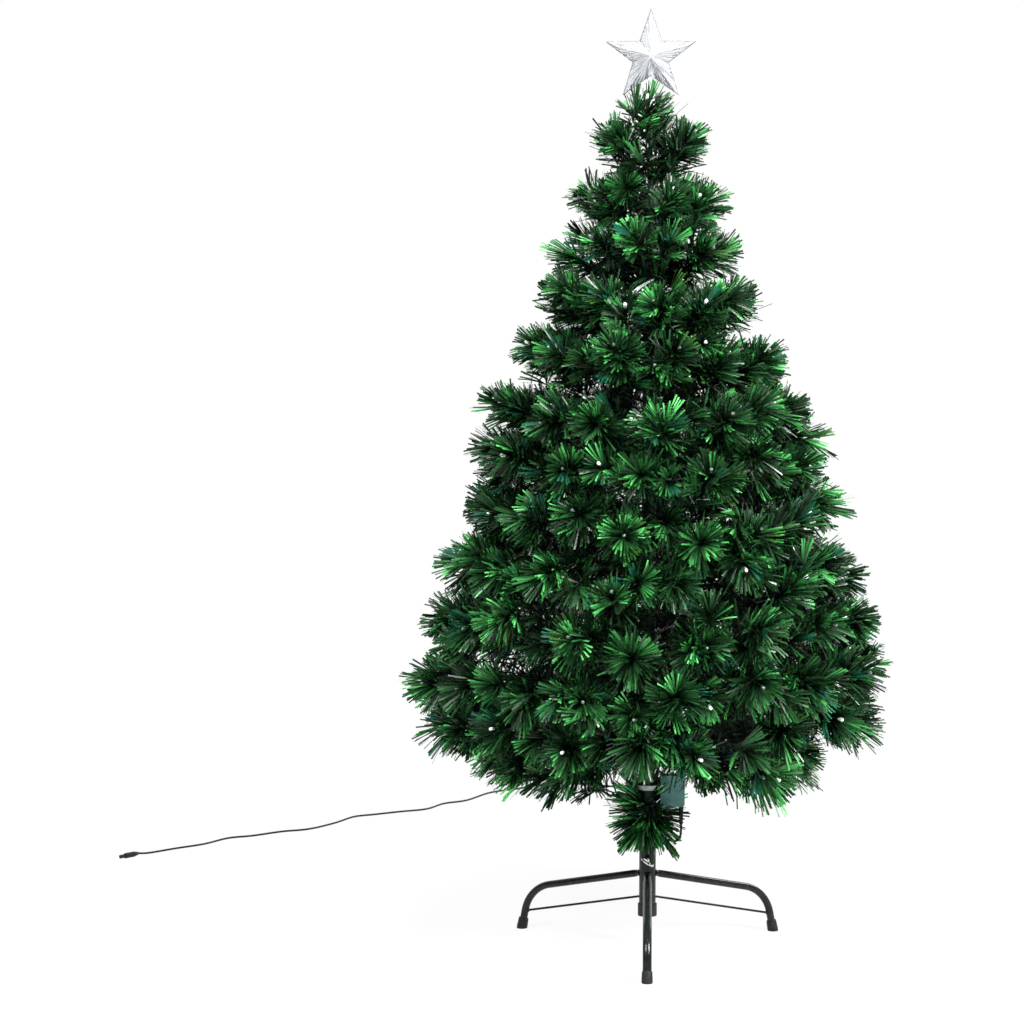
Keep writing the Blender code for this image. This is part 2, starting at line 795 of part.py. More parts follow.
def grow_tuft(shape, root, tip, strands, limit):
    """A stem from three root corners to a neck, and the tuft's rim, front ring and hollow middle."""
    spot, axis, side, up = tip
    radius = tuft_radius(spot, limit)
    neck = ring(shape, spokes(spot - axis * radius * tuft_length_share, side, up, neck_radius, 3))
    rim = ring(shape, spokes(spot - axis * radius * tuft_rim_share, side, up, radius, 6))
    front_spot = spot + axis * radius * tuft_front_share
    front = ring(shape, spokes(front_spot, side, up, radius * tuft_front_width_share, 6))
    middle = shape.verts.new(spot - axis * radius * tuft_hollow_share)
    bridge(shape, root, neck)
    for i in range(3):
        before, own, after = rim[2 * i - 1], rim[2 * i], rim[2 * i + 1]
        shape.faces.new((neck[i], before, own))
        shape.faces.new((neck[i], own, after))
        shape.faces.new((neck[i], after, neck[(i + 1) % 3]))
    bridge(shape, rim, front)
    hollow = [shape.faces.new((front[k], front[(k + 1) % 6], middle)) for k in range(6)]
    for face in hollow[::6 // strands]:
        away = face.calc_center_median() - spot
        outward = (away - axis * away.dot(axis)).normalized()
        direction = axis * math.cos(strand_spread) + outward * math.sin(strand_spread)
        grow_strand(shape, face, direction, strand_length, strand_end_share)


def root_cell(shape, below, above):
    """Splits a root's cell in two: a closed half, and the three corners that a stem grows from."""
    shape.faces.new((below[1], above[1], above[0]))
    return [above[0], below[0], below[1]]


def make_root(shape, columns, half_angle):
    """A branch's stem root in its own frame: flat at the pole, with two rows of cells in front.

    The frame's X axis runs out along the branch and its origin lies on the root's back face.
    """
    near = pole_radius + fit_gap
    reach = near + root_depth
    levels = []
    for level in (-1, 0, 1):
        bulge = root_bulge if level == 0 else 0
        angles = [half_angle * (2 * k / columns - 1) for k in range(columns + 1)]
        row = [(reach + bulge, a) for a in angles]
        points = [Vector((r * math.cos(a) - near, r * math.sin(a), level * root_height / 2)) for r, a in row]
        levels.append(ring(shape, points))
    half_width = near * math.tan(half_angle)
    backs = []
    for level in (-1, 1):
        height = level * root_height / 2
        backs.append(ring(shape, [Vector((0, -half_width, height)), Vector((0, half_width, height))]))
    roots = []
    for row, (below, above) in enumerate(zip(levels, levels[1:])):
        for c in range(columns):
            roots.append((row, c, root_cell(shape, below[c:c + 2], above[c:c + 2])))
    shape.faces.new(levels[0] + backs[0][::-1])
    shape.faces.new(levels[2] + backs[1][::-1])
    shape.faces.new([level[0] for level in levels] + [backs[1][0], backs[0][0]])
    shape.faces.new([level[-1] for level in levels] + [backs[1][1], backs[0][1]])
    shape.faces.new(backs[0] + backs[1][::-1])
    return roots


def make_branch(tier, branch):
    """One branch, its origin on its hinge at the pole, turned to its own azimuth."""
    azimuth = tier.turn + 360 * branch / tier.branches
    hinge = polar(pole_radius + fit_gap, azimuth, height_at(tier.hub_share))
    place = Matrix.Translation(hinge) @ Matrix.Rotation(math.radians(azimuth), 4, "Z")
    half_angle = min(root_angle_share * math.radians(360 / tier.branches), root_angle_limit)
    shape = bmesh.new()
    roots = make_root(shape, tier.columns, half_angle)
    bmesh.ops.transform(shape, matrix=place, verts=shape.verts)
    for row, column, root in roots:
        shares, shift = ((tier.low, -1), (tier.high, 1))[row]
        tip = tip_at(shares, row_azimuths(tier, branch, shift)[column])
        grow_tuft(shape, root, tip, tier.strands, tuft_radius_limit)
    bmesh.ops.transform(shape, matrix=place.inverted(), verts=shape.verts)
    name = f"branch_{tier.name}_{'abcdef'[branch]}"
    add_object(name, finished(name, shape, False), needle_green, place)


def make_leader_cluster():
    """A six-sided collar on the pole's end with one tuft on each side, round the leader rod."""
    bore = (pole_radius + fit_gap) / math.cos(math.pi / leader_sides)
    reach = bore + root_depth
    shape = bmesh.new()
    low, high = leader_hub_height - root_height / 2, leader_hub_height + root_height / 2
    rings = []
    for wide, height in ((bore, low), (reach, low), (reach, high), (bore, high)):
        rings.append(ring(shape, circle(wide, height, leader_sides)))
    bridge(shape, rings[0], rings[1])
    bridge(shape, rings[2], rings[3])
    bridge(shape, rings[3], rings[0])
    for k, (azimuth, row) in enumerate(leader_row_shares):
        beside = (k + 1) % leader_sides
        root = root_cell(shape, (rings[1][k], rings[1][beside]), (rings[2][k], rings[2][beside]))
        grow_tuft(shape, root, tip_at(row, azimuth), leader_strands, leader_tuft_limit)
    add_object("leader_cluster", finished("leader_cluster", shape, False), needle_green)


# Star


def make_star():
    """Two hollow faceted halves round the socket that slips over the leader rod."""
    bore_guide = [(socket_radius + fit_gap, 0), (socket_radius + fit_gap, socket_length + fit_gap)]
    drill = add_object("socket_room", turned("socket_room", bore_guide, round_sides), clear_plastic)
    drill.location.z = socket_top_height - socket_length
    inner_share = 1 - star_wall / (star_radius * star_waist_share)
    for name, way in (("star_front", -1), ("star_back", 1)):
        shape = bmesh.new()
        shells = []
        for share, depth in ((1, star_half_depth), (inner_share, star_half_depth - star_wall)):
            points = []
            for k in range(2 * star_points):
                reach = star_radius * share * (star_waist_share if k % 2 else 1)
                angle = math.pi / 2 + math.pi * k / star_points
                x, z = reach * math.cos(angle), reach * math.sin(angle)
                points.append(Vector((x, way * fit_gap / 2, star_centre_height + z)))
            edge = ring(shape, points)
            peak = shape.verts.new((0, way * depth, star_centre_height))
            for i in range(2 * star_points):
                shape.faces.new((edge[i], edge[(i + 1) % (2 * star_points)], peak))
            shells.append(edge)
        bridge(shape, *shells)
        half = add_object(name, finished(name, shape, False), clear_plastic)
        cut(half, drill)
    bottom = socket_top_height - socket_length
    profile = [
        (socket_bore_radius, socket_top_height - socket_roof),
        (socket_bore_radius, bottom),
        (socket_radius, bottom),
        (socket_radius, socket_top_height),
    ]
    add_object("star_socket", turned("star_socket", profile, round_sides), clear_plastic)


# Cord and plug


def make_cord():
    clip_middle = pole_radius + fit_gap + clip_depth / 2 + lead_radius
    start = Vector((0, clip_middle, clip_height - fit_gap))
    heading = Vector((*plug_heading, 0)).normalized()
    plug_back = Vector((*plug_spot, plug_radius))
    end = plug_back - heading * fit_gap
    drop = [(0, clip_middle + room, share * clip_height) for room, share in cord_drop_shares]
    on_floor = [(x, y, cord_radius + floor_gap) for x, y in cord_route]
    route = [start, *drop, *on_floor, end]
    tube_along("power_cord", smooth_route(route, cord_points), cord_radius, black_plastic)
    body_start = plug_neck_length
    body_end = body_start + plug_body_length
    profile = [
        (plug_neck_radius, 0),
        (plug_radius, body_start),
        (plug_radius, body_end),
        (plug_sleeve_radius, body_end),
        (plug_sleeve_radius, body_end + plug_sleeve_length),
    ]
    lie_down = Vector((0, 0, 1)).rotation_difference(heading).to_matrix().to_4x4()
    place = Matrix.Translation(plug_back) @ lie_down
    add_object("cord_plug", turned("cord_plug", profile, small_sides), black_plastic, place)


make_tube()
make_legs()
make_screw()
make_pole()
make_tie()
make_light_box()
make_leads()
make_garland()
for each_tier in tier_shares:
    for each_branch in range(each_tier.branches):
        make_branch(each_tier, each_branch)
make_leader_cluster()
make_star()
make_cord()
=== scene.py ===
"""The looks of a fiber optic christmas tree: needles, lights, finishes, floor, lamps and camera."""

import math
from collections import namedtuple

import bmesh
import bpy
import numpy as np
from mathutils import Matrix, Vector


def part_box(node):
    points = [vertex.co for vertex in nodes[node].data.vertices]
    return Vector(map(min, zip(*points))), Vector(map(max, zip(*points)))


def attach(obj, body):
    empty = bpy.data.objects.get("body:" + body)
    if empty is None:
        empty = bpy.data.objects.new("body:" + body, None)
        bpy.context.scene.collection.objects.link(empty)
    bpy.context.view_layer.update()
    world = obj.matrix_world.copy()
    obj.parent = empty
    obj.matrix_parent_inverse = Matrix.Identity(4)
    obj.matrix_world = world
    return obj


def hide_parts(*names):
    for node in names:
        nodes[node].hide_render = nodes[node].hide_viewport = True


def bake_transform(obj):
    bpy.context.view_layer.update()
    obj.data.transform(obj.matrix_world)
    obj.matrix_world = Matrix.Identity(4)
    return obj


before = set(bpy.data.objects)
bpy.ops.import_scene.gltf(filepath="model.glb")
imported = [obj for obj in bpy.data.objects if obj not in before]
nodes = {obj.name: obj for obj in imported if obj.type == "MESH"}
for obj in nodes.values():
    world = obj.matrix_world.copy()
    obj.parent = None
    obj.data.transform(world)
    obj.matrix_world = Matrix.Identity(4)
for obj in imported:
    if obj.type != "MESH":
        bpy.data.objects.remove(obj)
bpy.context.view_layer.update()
light_box_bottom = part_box("light_box_front")[0][2]
tie_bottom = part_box("stem_tie")[0][2]

# Layout of the tips, as the model has it

tree_height = 1.200
foliage_radius = 0.288
pole_radius = 0.0091
fit_gap = 0.0003
lowest_hub_height = 0.245
root_reach = 0.0174
root_height = 0.012
root_angle_share = 0.40
root_angle_limit = math.radians(32)
root_steps = 17
root_turns = 16
root_round_power = 0.45
root_end_share = 0.15
root_edge_share = 0.90

Row = namedtuple("Row", "height_share reach_share tilt")
Tier = namedtuple("Tier", "name branches columns turn hub_share low high")
tier_shares = (
    Tier("tier1", 6, 3, 22, 0.0000, Row(0.0080, 0.700, -14), Row(0.0600, 0.950, -5)),
    Tier("tier2", 6, 3, 2, 0.0940, Row(0.1225, 1.000, 1), Row(0.1910, 0.940, 6)),
    Tier("tier3", 6, 3, 42, 0.2304, Row(0.2618, 0.860, 10), Row(0.3350, 0.785, 14)),
    Tier("tier4", 5, 3, 8, 0.3667, Row(0.4084, 0.730, 18), Row(0.4785, 0.640, 22)),
    Tier("tier5", 4, 3, 20, 0.5024, Row(0.5518, 0.525, 26), Row(0.6230, 0.430, 31)),
    Tier("tier6", 3, 2, 0, 0.6387, Row(0.6959, 0.350, 36), Row(0.7625, 0.280, 42)),
)
leader_hub_share = 0.7424
leader_row_shares = (
    (30, Row(0.8341, 0.205, 50)),
    (90, Row(0.8769, 0.112, 76)),
    (150, Row(0.8341, 0.205, 50)),
    (210, Row(0.8341, 0.205, 50)),
    (270, Row(0.8819, 0.112, 76)),
    (330, Row(0.8341, 0.205, 50)),
)

# Needles, cut as combs of film that lie side by side. A stray is the spread of a random draw.

needle_half_width = 0.00102
needle_steps = 3
needle_width_spots = (0, 0.3, 1)
needle_width_shares = (0.6, 1, 1)
needle_turn_stray = 0.045
needle_open_stray = 0.060
needle_open_limits = (0.15, 1.35)
needle_reach_stray = 0.028
needle_roll_stray = 0.32
needle_bend_stray = 0.035
needle_lost_share = 0.08
comb_needles = 7
comb_pitch = math.radians(5.4)
comb_pitch_limit = math.radians(11)
comb_width_range = (0.65, 1.30)
comb_turn = math.radians(137.5)
comb_turn_stray = 0.28
comb_open_stray = 0.12
comb_reach_stray = 0.06
comb_roll_stray = 0.60
comb_bend_stray = 0.06
comb_lost_share = 0.08
first_turn_limit = 6.28
brush_combs = 33
brush_back = 0.047
brush_front = 0.014
brush_open = math.radians(60)
brush_shut = math.radians(25)
brush_shut_power = 1.3
brush_reach = 0.044
brush_droop = 0.07
brush_tone_range = (0.26, 0.51)
bare_side_limit = 0.55
worn_share = 0.55

# Tones, as places on the needle film's ramp

map_limits = (0.01, 0.99)
comb_tone_stray = 0.19
comb_tone_limits = (0.03, 0.80)
teal_share = 0.05
teal_tone = 0.895
olive_start = 0.98
olive_tone = 0.95
green_limit = 0.82
needle_tone_stray = 0.10
needle_tone_limits = (0.02, 0.83)
# A few needles are clear film, painted pale as glints.
clear_glint_share = 0.0015
clear_glint_tone = 0.99
middling_tone = 0.5
stem_tone = (0.16, 0.7)

# Tips: a brush with smaller sprigs behind it, and smaller brushes between the tips

branch_seed_step = 100
leader_seed = 900
tip_lean = 0.20
tip_stray = 0.012
tip_size_range = (0.84, 1.08)
tip_combs_range = (0.8, 1.15)
held_stray_share = 0.6
sprig_count = 2
sprig_combs = 10
sprig_size = 0.82
sprig_stray = 0.016
sprig_lean = 0.42
sprig_back_range = (0.005, 0.060)
# Painted shade: tone taken off the sprigs, which sit behind the tips.
sprig_painted_shade = 0.06
between_combs = 23
between_combs_range = (0.8, 1.2)
between_size = 0.92
between_size_range = (0.85, 1.08)
between_back = 0.014
between_back_range = (0.2, 1.6)
# Painted shade: tone taken off the brushes between the tips, which sit back from them.
between_painted_shade = 0.04
front_lift = 0.037
lift_azimuth = math.radians(-93)
lift_narrowness = 11
front_shrink_share = 0.22
top_shrink_share = 0.20
leader_stray = 0.004
leader_size = 0.86

# Needles wound along the stems and the pole

sleeve_pitch = 0.0012
sleeve_start_share = 0.06
sleeve_needles_round = 11
sleeve_turn_stray = 0.6
sleeve_open = math.radians(56)
sleeve_open_stray = 0.26
sleeve_reach = 0.040
sleeve_first_reach_share = 0.30
sleeve_reach_stray = 0.14
sleeve_roll_stray = 0.8
sleeve_bend_stray = 0.08
# Painted shade: the stems' needles get lower tones than the tips, for the shade inside the tree.
sleeve_painted_shade_tone = 0.26
sleeve_tone_stray = 0.13
sleeve_tone_limits = (0.03, 0.7)
trunk_sleeve_pitch = 0.0006
trunk_sleeve_low = 0.236
trunk_sleeve_high = 1.010
trunk_sleeve_rise = 0.35
trunk_rise_stray = 0.25
trunk_sleeve_reach = 0.095
trunk_reach_loss = 0.058
trunk_reach_stray = 0.15
trunk_bend_stray = 0.06
# Painted shade: the pole's needles get a near-black tone for the shade deep inside the tree.
trunk_painted_shade_tone = 0.06
trunk_tone_stray = 0.04

# Needles wound round the pole's foot

garland_low = 0.152
garland_high = 0.203
garland_combs = 190
garland_comb_spread = 1.1
garland_turn_stray = 0.3
garland_reach = 0.042
garland_reach_range = (0.55, 1.12)
garland_root = 0.0105
garland_sink = math.radians(60)
garland_rise = math.radians(48)
garland_sink_power = 0.8
garland_sink_stray = 0.16
garland_roll_stray = 0.9
garland_bend_stray = 0.05
garland_droop = 0.05
garland_tone = 0.52
garland_lost_share = 0.05
garland_needle_stray = 0.05
garland_needle_reach_stray = 0.03
garland_needle_roll_stray = 0.3
box_side = (-46, 24)
tie_side = (-122, -58)
box_gap = 0.002

# Lights, fibres and stems

bulb_radius = 0.0022
bulb_length = 0.0052
bulb_sides = 10
bulb_ring_shares = (1.00, 0.94, 0.70, 0.38, 0.0, -1.0, -1.0)
bulb_width_shares = (0.02, 0.34, 0.71, 0.93, 1.0, 0.95, 0.02)
bulb_forward = 0.009
bulb_forward_range = (0.2, 1.2)
# Painted shade: clear domes are given a dark grey tone for the shade seen through them.
clear_dome_shade_tone = 0.2
milky_tone = 0.8
milky_bulb_share = 0.34
lit_tip_share = 0.80
fibre_half_width = 0.00035
fibre_count = 2
fibre_open_range = (0.45, 1.25)
fibre_back_range = (0.020, 0.050)
fibre_reach = 0.034
fibre_reach_range = (0.6, 1.1)
fibre_bend_stray = 0.22
fibre_tone_range = (0.2, 0.8)
wire_radius = 0.0012
wire_sides = 6
wire_steps = 8
stem_hold_share = 0.40

# Star

star_seed = 950
star_radius = 0.0605
star_waist_share = 0.40
star_half_depth = 0.013
star_wall = 0.0012
star_inner_share = 0.95
star_turns = 120
star_ring_shares = (0.05, 0.2, 0.4, 0.6, 0.8, 0.92, 1.0)
star_rib_depth = 0.0016
star_rib_steepness = 0.030
star_rim_share = 0.93
# Painted shade: a darker tone along the star's rim.
star_rim_shade_tone = 0.45
star_plain_tone = 0.97
# Painted shade: the grooves' lowest random tone at the star's top; it falls to nothing at the bottom.
star_groove_shade_tone = 0.60
star_groove_start_share = 0.1
socket_radius = 0.0051
socket_top_height = 1.1265

# Stand, as the model has it

tube_radius = 0.0108
leg_half_width = 0.0056
leg_half_thickness = 0.0047
leg_root_height = 0.0955
ankle_height = 0.0242
leg_fall_share = 0.622
leg_bend_share = 0.701
leg_pinch_share = 0.84
leg_pinch_length = 0.008
leg_weld_share = 1.22
leg_neck_share = 1.06
leg_end_lift = 0.003
leg_steps = 16
leg_turns = 24
sharp_edge = math.radians(50)
weld_edge = 0.0012
weld_length = 0.003
foot_circle_radius = 0.192
foot_splay = math.radians(78)
foot_cap_rings = (
    (0.0000, 0.0068),
    (0.0018, 0.0071),
    (0.0040, 0.0070),
    (0.0125, 0.0066),
    (0.0143, 0.0063),
    (0.0147, 0.0054),
)
brace_radius = 0.0015
brace_root_height = 0.0645
brace_end_height = 0.0252
brace_weld_share = 1.9
brace_neck_share = 1.2
leg_azimuths = {"front": -90, "left": 150, "right": 30}

# Cord, as the model has it

cord_radius = 0.0015
cord_points = 78
cord_sides = 10
route_steps = 24
cord_exit = (0.0, 0.01515, 0.1382)
cord_drop = (
    (0.0000, 0.01515, 0.12050),
    (0.0000, 0.01615, 0.06925),
    (0.0000, 0.02015, 0.03005),
    (0.0000, 0.03315, 0.00748),
)
cord_floor_height = 0.0016
cord_route = (
    (0.0005, 0.0600),
    (0.0010, 0.1500),
    (0.0020, 0.3000),
    (0.0080, 0.5000),
    (0.0040, 0.7000),
    (0.0020, 0.9000),
    (-0.0060, 1.0200),
    (-0.0350, 1.1050),
    (-0.0950, 1.1400),
    (-0.1500, 1.1500),
    (-0.1850, 1.1300),
    (-0.2150, 1.0980),
    (-0.2600, 1.0600),
    (-0.2950, 0.9900),
    (-0.3300, 0.9600),
    (-0.3550, 0.9120),
    (-0.3950, 0.8880),
    (-0.4350, 0.8620),
    (-0.4650, 0.8420),
    (-0.4900, 0.7900),
    (-0.5250, 0.7400),
    (-0.5650, 0.7180),
    (-0.6050, 0.6840),
    (-0.6400, 0.6640),
    (-0.6700, 0.6180),
    (-0.7080, 0.5830),
    (-0.7420, 0.5490),
)
plug_spot = (-0.7560, 0.5330)
plug_heading = (-0.64, -0.77)
plug_radius = 0.0040

# Studio: each lamp has a name, a place, an aim, a size and a power

floor_width = 40.0
floor_fade_radii = (0.35, 0.9)
floor_glow_share = 0.90
ambient_strength = 0.14
viewer_side_strength = 0.08
viewer_side_limits = (-0.1, 0.7)
lamps = (
    ("key_left", (-1.5, -2.1, 2.3), (0, 0, 0.6), (0.6, 0.9), 100),
    ("key_right", (1.9, -1.6, 1.9), (0, 0, 0.6), (0.6, 0.9), 172),
    ("top", (0.1, -1.1, 3.1), (0, 0, 0.6), (0.8, 0.8), 78),
    ("rim", (1.6, 1.8, 1.9), (0, 0, 0.6), (0.8, 1.4), 40),
)

# Photograph's viewpoint

camera_spot = (-0.00214, -3.72872, 0.89522)
camera_pitch = math.pi / 2 - 0.08877
camera_turn = 0.04632
camera_lens = 103.0


# Materials

noise_detail = 4.0
noise_limits = (0.3, 0.7)


def new_material(name):
    made = bpy.data.materials.new(name)
    made.use_nodes = True
    return made, made.node_tree, made.node_tree.nodes["Principled BSDF"]


def set_inputs(node, **values):
    """Sets constants on a node's inputs, named with an underscore for each space."""
    for name, value in values.items():
        node.inputs[name.replace("_", " ")].default_value = value


def object_noise(tree, scale):
    """Noise over the object's own coordinates, in metres."""
    place = tree.nodes.new("ShaderNodeTexCoord")
    noise = tree.nodes.new("ShaderNodeTexNoise")
    set_inputs(noise, Scale=scale, Detail=noise_detail)
    tree.links.new(place.outputs["Object"], noise.inputs["Vector"])
    return noise.outputs["Fac"]


def map_parts(tree):
    """The two values that a mesh's own map holds at each point."""
    place = tree.nodes.new("ShaderNodeUVMap")
    place.uv_map = "OFBake"
    parts = tree.nodes.new("ShaderNodeSeparateXYZ")
    tree.links.new(place.outputs["UV"], parts.inputs["Vector"])
    return parts.outputs["X"], parts.outputs["Y"]


def ramp(tree, factor, stops):
    """A colour ramp with the given (position, colour) stops."""
    node = tree.nodes.new("ShaderNodeValToRGB")
    while len(node.color_ramp.elements) < len(stops):
        node.color_ramp.elements.new(1.0)
    for element, (position, colour) in zip(node.color_ramp.elements, stops):
        element.position = position
        element.color = (*colour, 1)
    tree.links.new(factor, node.inputs["Fac"])
    return node.outputs["Color"]


def mapped(tree, value, found, wanted):
    """Maps a value from the found pair of limits to the wanted pair."""
    node = tree.nodes.new("ShaderNodeMapRange")
    set_inputs(node, From_Min=found[0], From_Max=found[1], To_Min=wanted[0], To_Max=wanted[1])
    tree.links.new(value, node.inputs["Value"])
    return node.outputs["Result"]


def larger(tree, first, second):
    """The larger one of two values."""
    node = tree.nodes.new("ShaderNodeMath")
    node.operation = "MAXIMUM"
    tree.links.new(first, node.inputs[0])
    tree.links.new(second, node.inputs[1])
    return node.outputs["Value"]


def mixed(tree, factor, first, second):
    """A shader that goes from the first to the second as the factor goes from 0 to 1."""
    node = tree.nodes.new("ShaderNodeMixShader")
    tree.links.new(factor, node.inputs["Fac"])
    tree.links.new(first, node.inputs[1])
    tree.links.new(second, node.inputs[2])
    return node.outputs["Shader"]


def look(tree, shader, colour, noise, shine):
    """Links a shader's colour, and a roughness that follows a noise between the shine pair."""
    tree.links.new(colour, shader.inputs["Base Color"])
    tree.links.new(mapped(tree, noise, noise_limits, shine), shader.inputs["Roughness"])


def bump(tree, shader, height, strength, distance):
    node = tree.nodes.new("ShaderNodeBump")
    set_inputs(node, Strength=strength, Distance=distance)
    tree.links.new(height, node.inputs["Height"])
    tree.links.new(node.outputs["Normal"], shader.inputs["Normal"])


def coated(name, low, high, shine, grain, depth, metal=0.0, coat=0.0, specular=0.5):
    """A moulded or painted finish: colour between low and high, roughness between the shine pair."""
    made, tree, shader = new_material(name)
    broad = object_noise(tree, grain / 8)
    look(tree, shader, ramp(tree, broad, ((0.35, low), (0.65, high))), broad, shine)
    set_inputs(shader, Metallic=metal, Coat_Weight=coat, Coat_Roughness=0.06, Specular_IOR_Level=specular)
    bump(tree, shader, object_noise(tree, grain), 0.35, depth)
    return made


def clear_material():
    """Pale clear moulding: its map holds painted shade, darker in the ribs' grooves, more so towards the
    star's bottom, and along the rim.
    """
    made, tree, shader = new_material("clear_moulding")
    colour = ramp(tree, map_parts(tree)[0], (
        (0.0, (0.10, 0.11, 0.13)),
        (0.5, (0.36, 0.38, 0.40)),
        (0.9, (0.70, 0.71, 0.73)),
    ))
    look(tree, shader, colour, object_noise(tree, 60.0), (0.14, 0.26))
    set_inputs(shader, Transmission_Weight=0.68, IOR=1.12)
    bump(tree, shader, object_noise(tree, 400.0), 0.3, 0.00005)
    return made


def needle_material():
    """Cut green film: its map holds the needle's tone across and the way from root to tip along, and along
    it the roots get painted shade.
    """
    made, tree, shader = new_material("needle_film")
    across, along = map_parts(tree)
    tone = ramp(tree, across, (
        (0.00, (0.003, 0.009, 0.003)),
        (0.25, (0.006, 0.030, 0.008)),
        (0.50, (0.017, 0.078, 0.022)),
        (0.70, (0.040, 0.255, 0.054)),
        (0.84, (0.110, 0.530, 0.135)),
        (0.87, (0.007, 0.062, 0.036)),
        (0.92, (0.012, 0.115, 0.064)),
        (0.94, (0.018, 0.070, 0.012)),
        (0.96, (0.036, 0.120, 0.020)),
        # Painted glints: a pale tone for the few clear needles.
        (0.98, (0.520, 0.600, 0.540)),
    ))
    # Painted shade: each needle's colour is multiplied darker towards its root, nearly black at the root.
    shade = ramp(tree, along, ((0.15, (0.09, 0.09, 0.09)), (0.85, (1, 1, 1))))
    mix = tree.nodes.new("ShaderNodeMix")
    mix.data_type = "RGBA"
    mix.blend_type = "MULTIPLY"
    mix.inputs["Factor"].default_value = 1.0
    tree.links.new(tone, mix.inputs["A"])
    tree.links.new(shade, mix.inputs["B"])
    look(tree, shader, mix.outputs["Result"], object_noise(tree, 90.0), (0.22, 0.38))
    set_inputs(shader, Specular_IOR_Level=0.27)
    return made


def fibre_material():
    """Thin light fibres, pale and glossy."""
    made, tree, shader = new_material("light_fibre")
    noise = object_noise(tree, 60.0)
    colour = ramp(tree, noise, ((0.3, (0.04, 0.10, 0.06)), (0.7, (0.24, 0.36, 0.27))))
    look(tree, shader, colour, noise, (0.08, 0.22))
    return made


def bulb_material():
    """Moulded lamp domes: the map's left half is clear plastic painted dark grey for the shade seen through
    it, the right half milky.
    """
    made, tree, shader = new_material("lamp_dome")
    colour = ramp(tree, map_parts(tree)[0], ((0.45, (0.10, 0.13, 0.11)), (0.55, (0.90, 0.93, 0.90))))
    look(tree, shader, colour, object_noise(tree, 200.0), (0.04, 0.12))
    set_inputs(shader, Coat_Weight=0.6, Coat_Roughness=0.03)
    return made


needle_film = needle_material()
light_fibre = fibre_material()
lamp_dome = bulb_material()
star_plastic = clear_material()
gloss_black = coated("gloss_black", (0.007, 0.009, 0.008), (0.013, 0.015, 0.014), (0.16, 0.26),
                     900, 0.00003, specular=0.24)
moulded_black = coated("moulded_black", (0.009, 0.010, 0.009), (0.016, 0.018, 0.016), (0.40, 0.55),
                       1400, 0.00003, specular=0.22)
wound_thread = coated("wound_thread", (0.004, 0.018, 0.008), (0.012, 0.046, 0.018), (0.55, 0.75),
                      1600, 0.0002)
bright_steel = coated("bright_steel", (0.70, 0.71, 0.72), (0.86, 0.87, 0.88), (0.05, 0.16),
                      1200, 0.00001, metal=1.0)
green_pole = coated("green_pole", (0.005, 0.022, 0.010), (0.010, 0.040, 0.018), (0.30, 0.45),
                    700, 0.00004)
pale_tie = coated("pale_tie", (0.36, 0.39, 0.37), (0.50, 0.53, 0.51), (0.28, 0.42), 900, 0.00005)
teal_plastic = coated("teal_plastic", (0.024, 0.115, 0.104), (0.038, 0.160, 0.145), (0.30, 0.45),
                      1300, 0.00003)
circuit_board = coated("circuit_board", (0.012, 0.110, 0.040), (0.030, 0.190, 0.070), (0.35, 0.55),
                       500, 0.00004)
clear_socket = coated("clear_socket", (0.62, 0.66, 0.66), (0.78, 0.82, 0.82), (0.06, 0.14),
                      500, 0.00002, coat=0.4)


# Meshes


def linked(name, data):
    piece = bpy.data.objects.new(name, data)
    bpy.context.scene.collection.objects.link(piece)
    return piece


def skinned(name, shape, rings):
    """A closed smooth mesh over rings of vertices."""
    sides = len(rings[0])
    for first, second in zip(rings, rings[1:]):
        for k in range(sides):
            beside = (k + 1) % sides
            shape.faces.new((first[k], first[beside], second[beside], second[k]))
    shape.faces.new(rings[0])
    shape.faces.new(rings[-1])
    bmesh.ops.recalc_face_normals(shape, faces=shape.faces)
    mesh = bpy.data.meshes.new(name)
    shape.to_mesh(mesh)
    shape.free()
    mesh.shade_smooth()
    return mesh


# Needles as strips

Growth = namedtuple("Growth", "needles fibres bulbs stems")


def unit(rows):
    return rows / np.linalg.norm(rows, axis=-1, keepdims=True)


def swung(angle, first, second):
    """Directions at an angle from the first ones towards the second ones, square to them."""
    return np.cos(angle)[:, None] * first + np.sin(angle)[:, None] * second


def outward_at(turn):
    """Level directions at angles round the pole."""
    return np.stack((np.cos(turn), np.sin(turn), np.zeros(len(turn))), axis=1)


def lean_frame(axis):
    """Two directions square to each axis, the first one level."""
    side = unit(np.cross((0.0, 0.0, 1.0), axis))
    return side, np.cross(axis, side)


def height_at(share):
    return lowest_hub_height + share * (tree_height - lowest_hub_height)


def tip_at(row, azimuth):
    """A tip's front middle and its axis."""
    angle, tilt = math.radians(azimuth), math.radians(row.tilt)
    reach = row.reach_share * foliage_radius
    spot = np.array((reach * math.cos(angle), reach * math.sin(angle), height_at(row.height_share)))
    axis = np.array((math.cos(tilt) * math.cos(angle), math.cos(tilt) * math.sin(angle), math.sin(tilt)))
    return spot, axis


def placed_tip(row, azimuth):
    """A tip's front middle, axis and size, with a lowest tip lifted where it hangs in front of the tie."""
    spot, axis = tip_at(row, azimuth)
    facing = 0.0
    if row is tier_shares[0].low:
        toward = spot[0] * math.cos(lift_azimuth) + spot[1] * math.sin(lift_azimuth)
        facing = max(0.0, toward / np.hypot(spot[0], spot[1])) ** lift_narrowness
    size = 1 - top_shrink_share * row.height_share - front_shrink_share * facing
    return spot + np.array((0.0, 0.0, front_lift * facing)), axis, size


def row_azimuths(tier, branch, row_shift):
    pitch = 360 / (tier.branches * tier.columns)
    middle = tier.turn + 360 * branch / tier.branches
    first = middle - pitch * (tier.columns - 1) / 2 + row_shift * pitch / 4
    return [first + pitch * k for k in range(tier.columns)]


def comb_places(combs):
    """Each needle's comb, and its place from the middle of that comb."""
    comb = np.repeat(np.arange(combs), comb_needles)
    place = np.tile(np.arange(comb_needles), combs) - (comb_needles - 1) / 2
    return comb, place


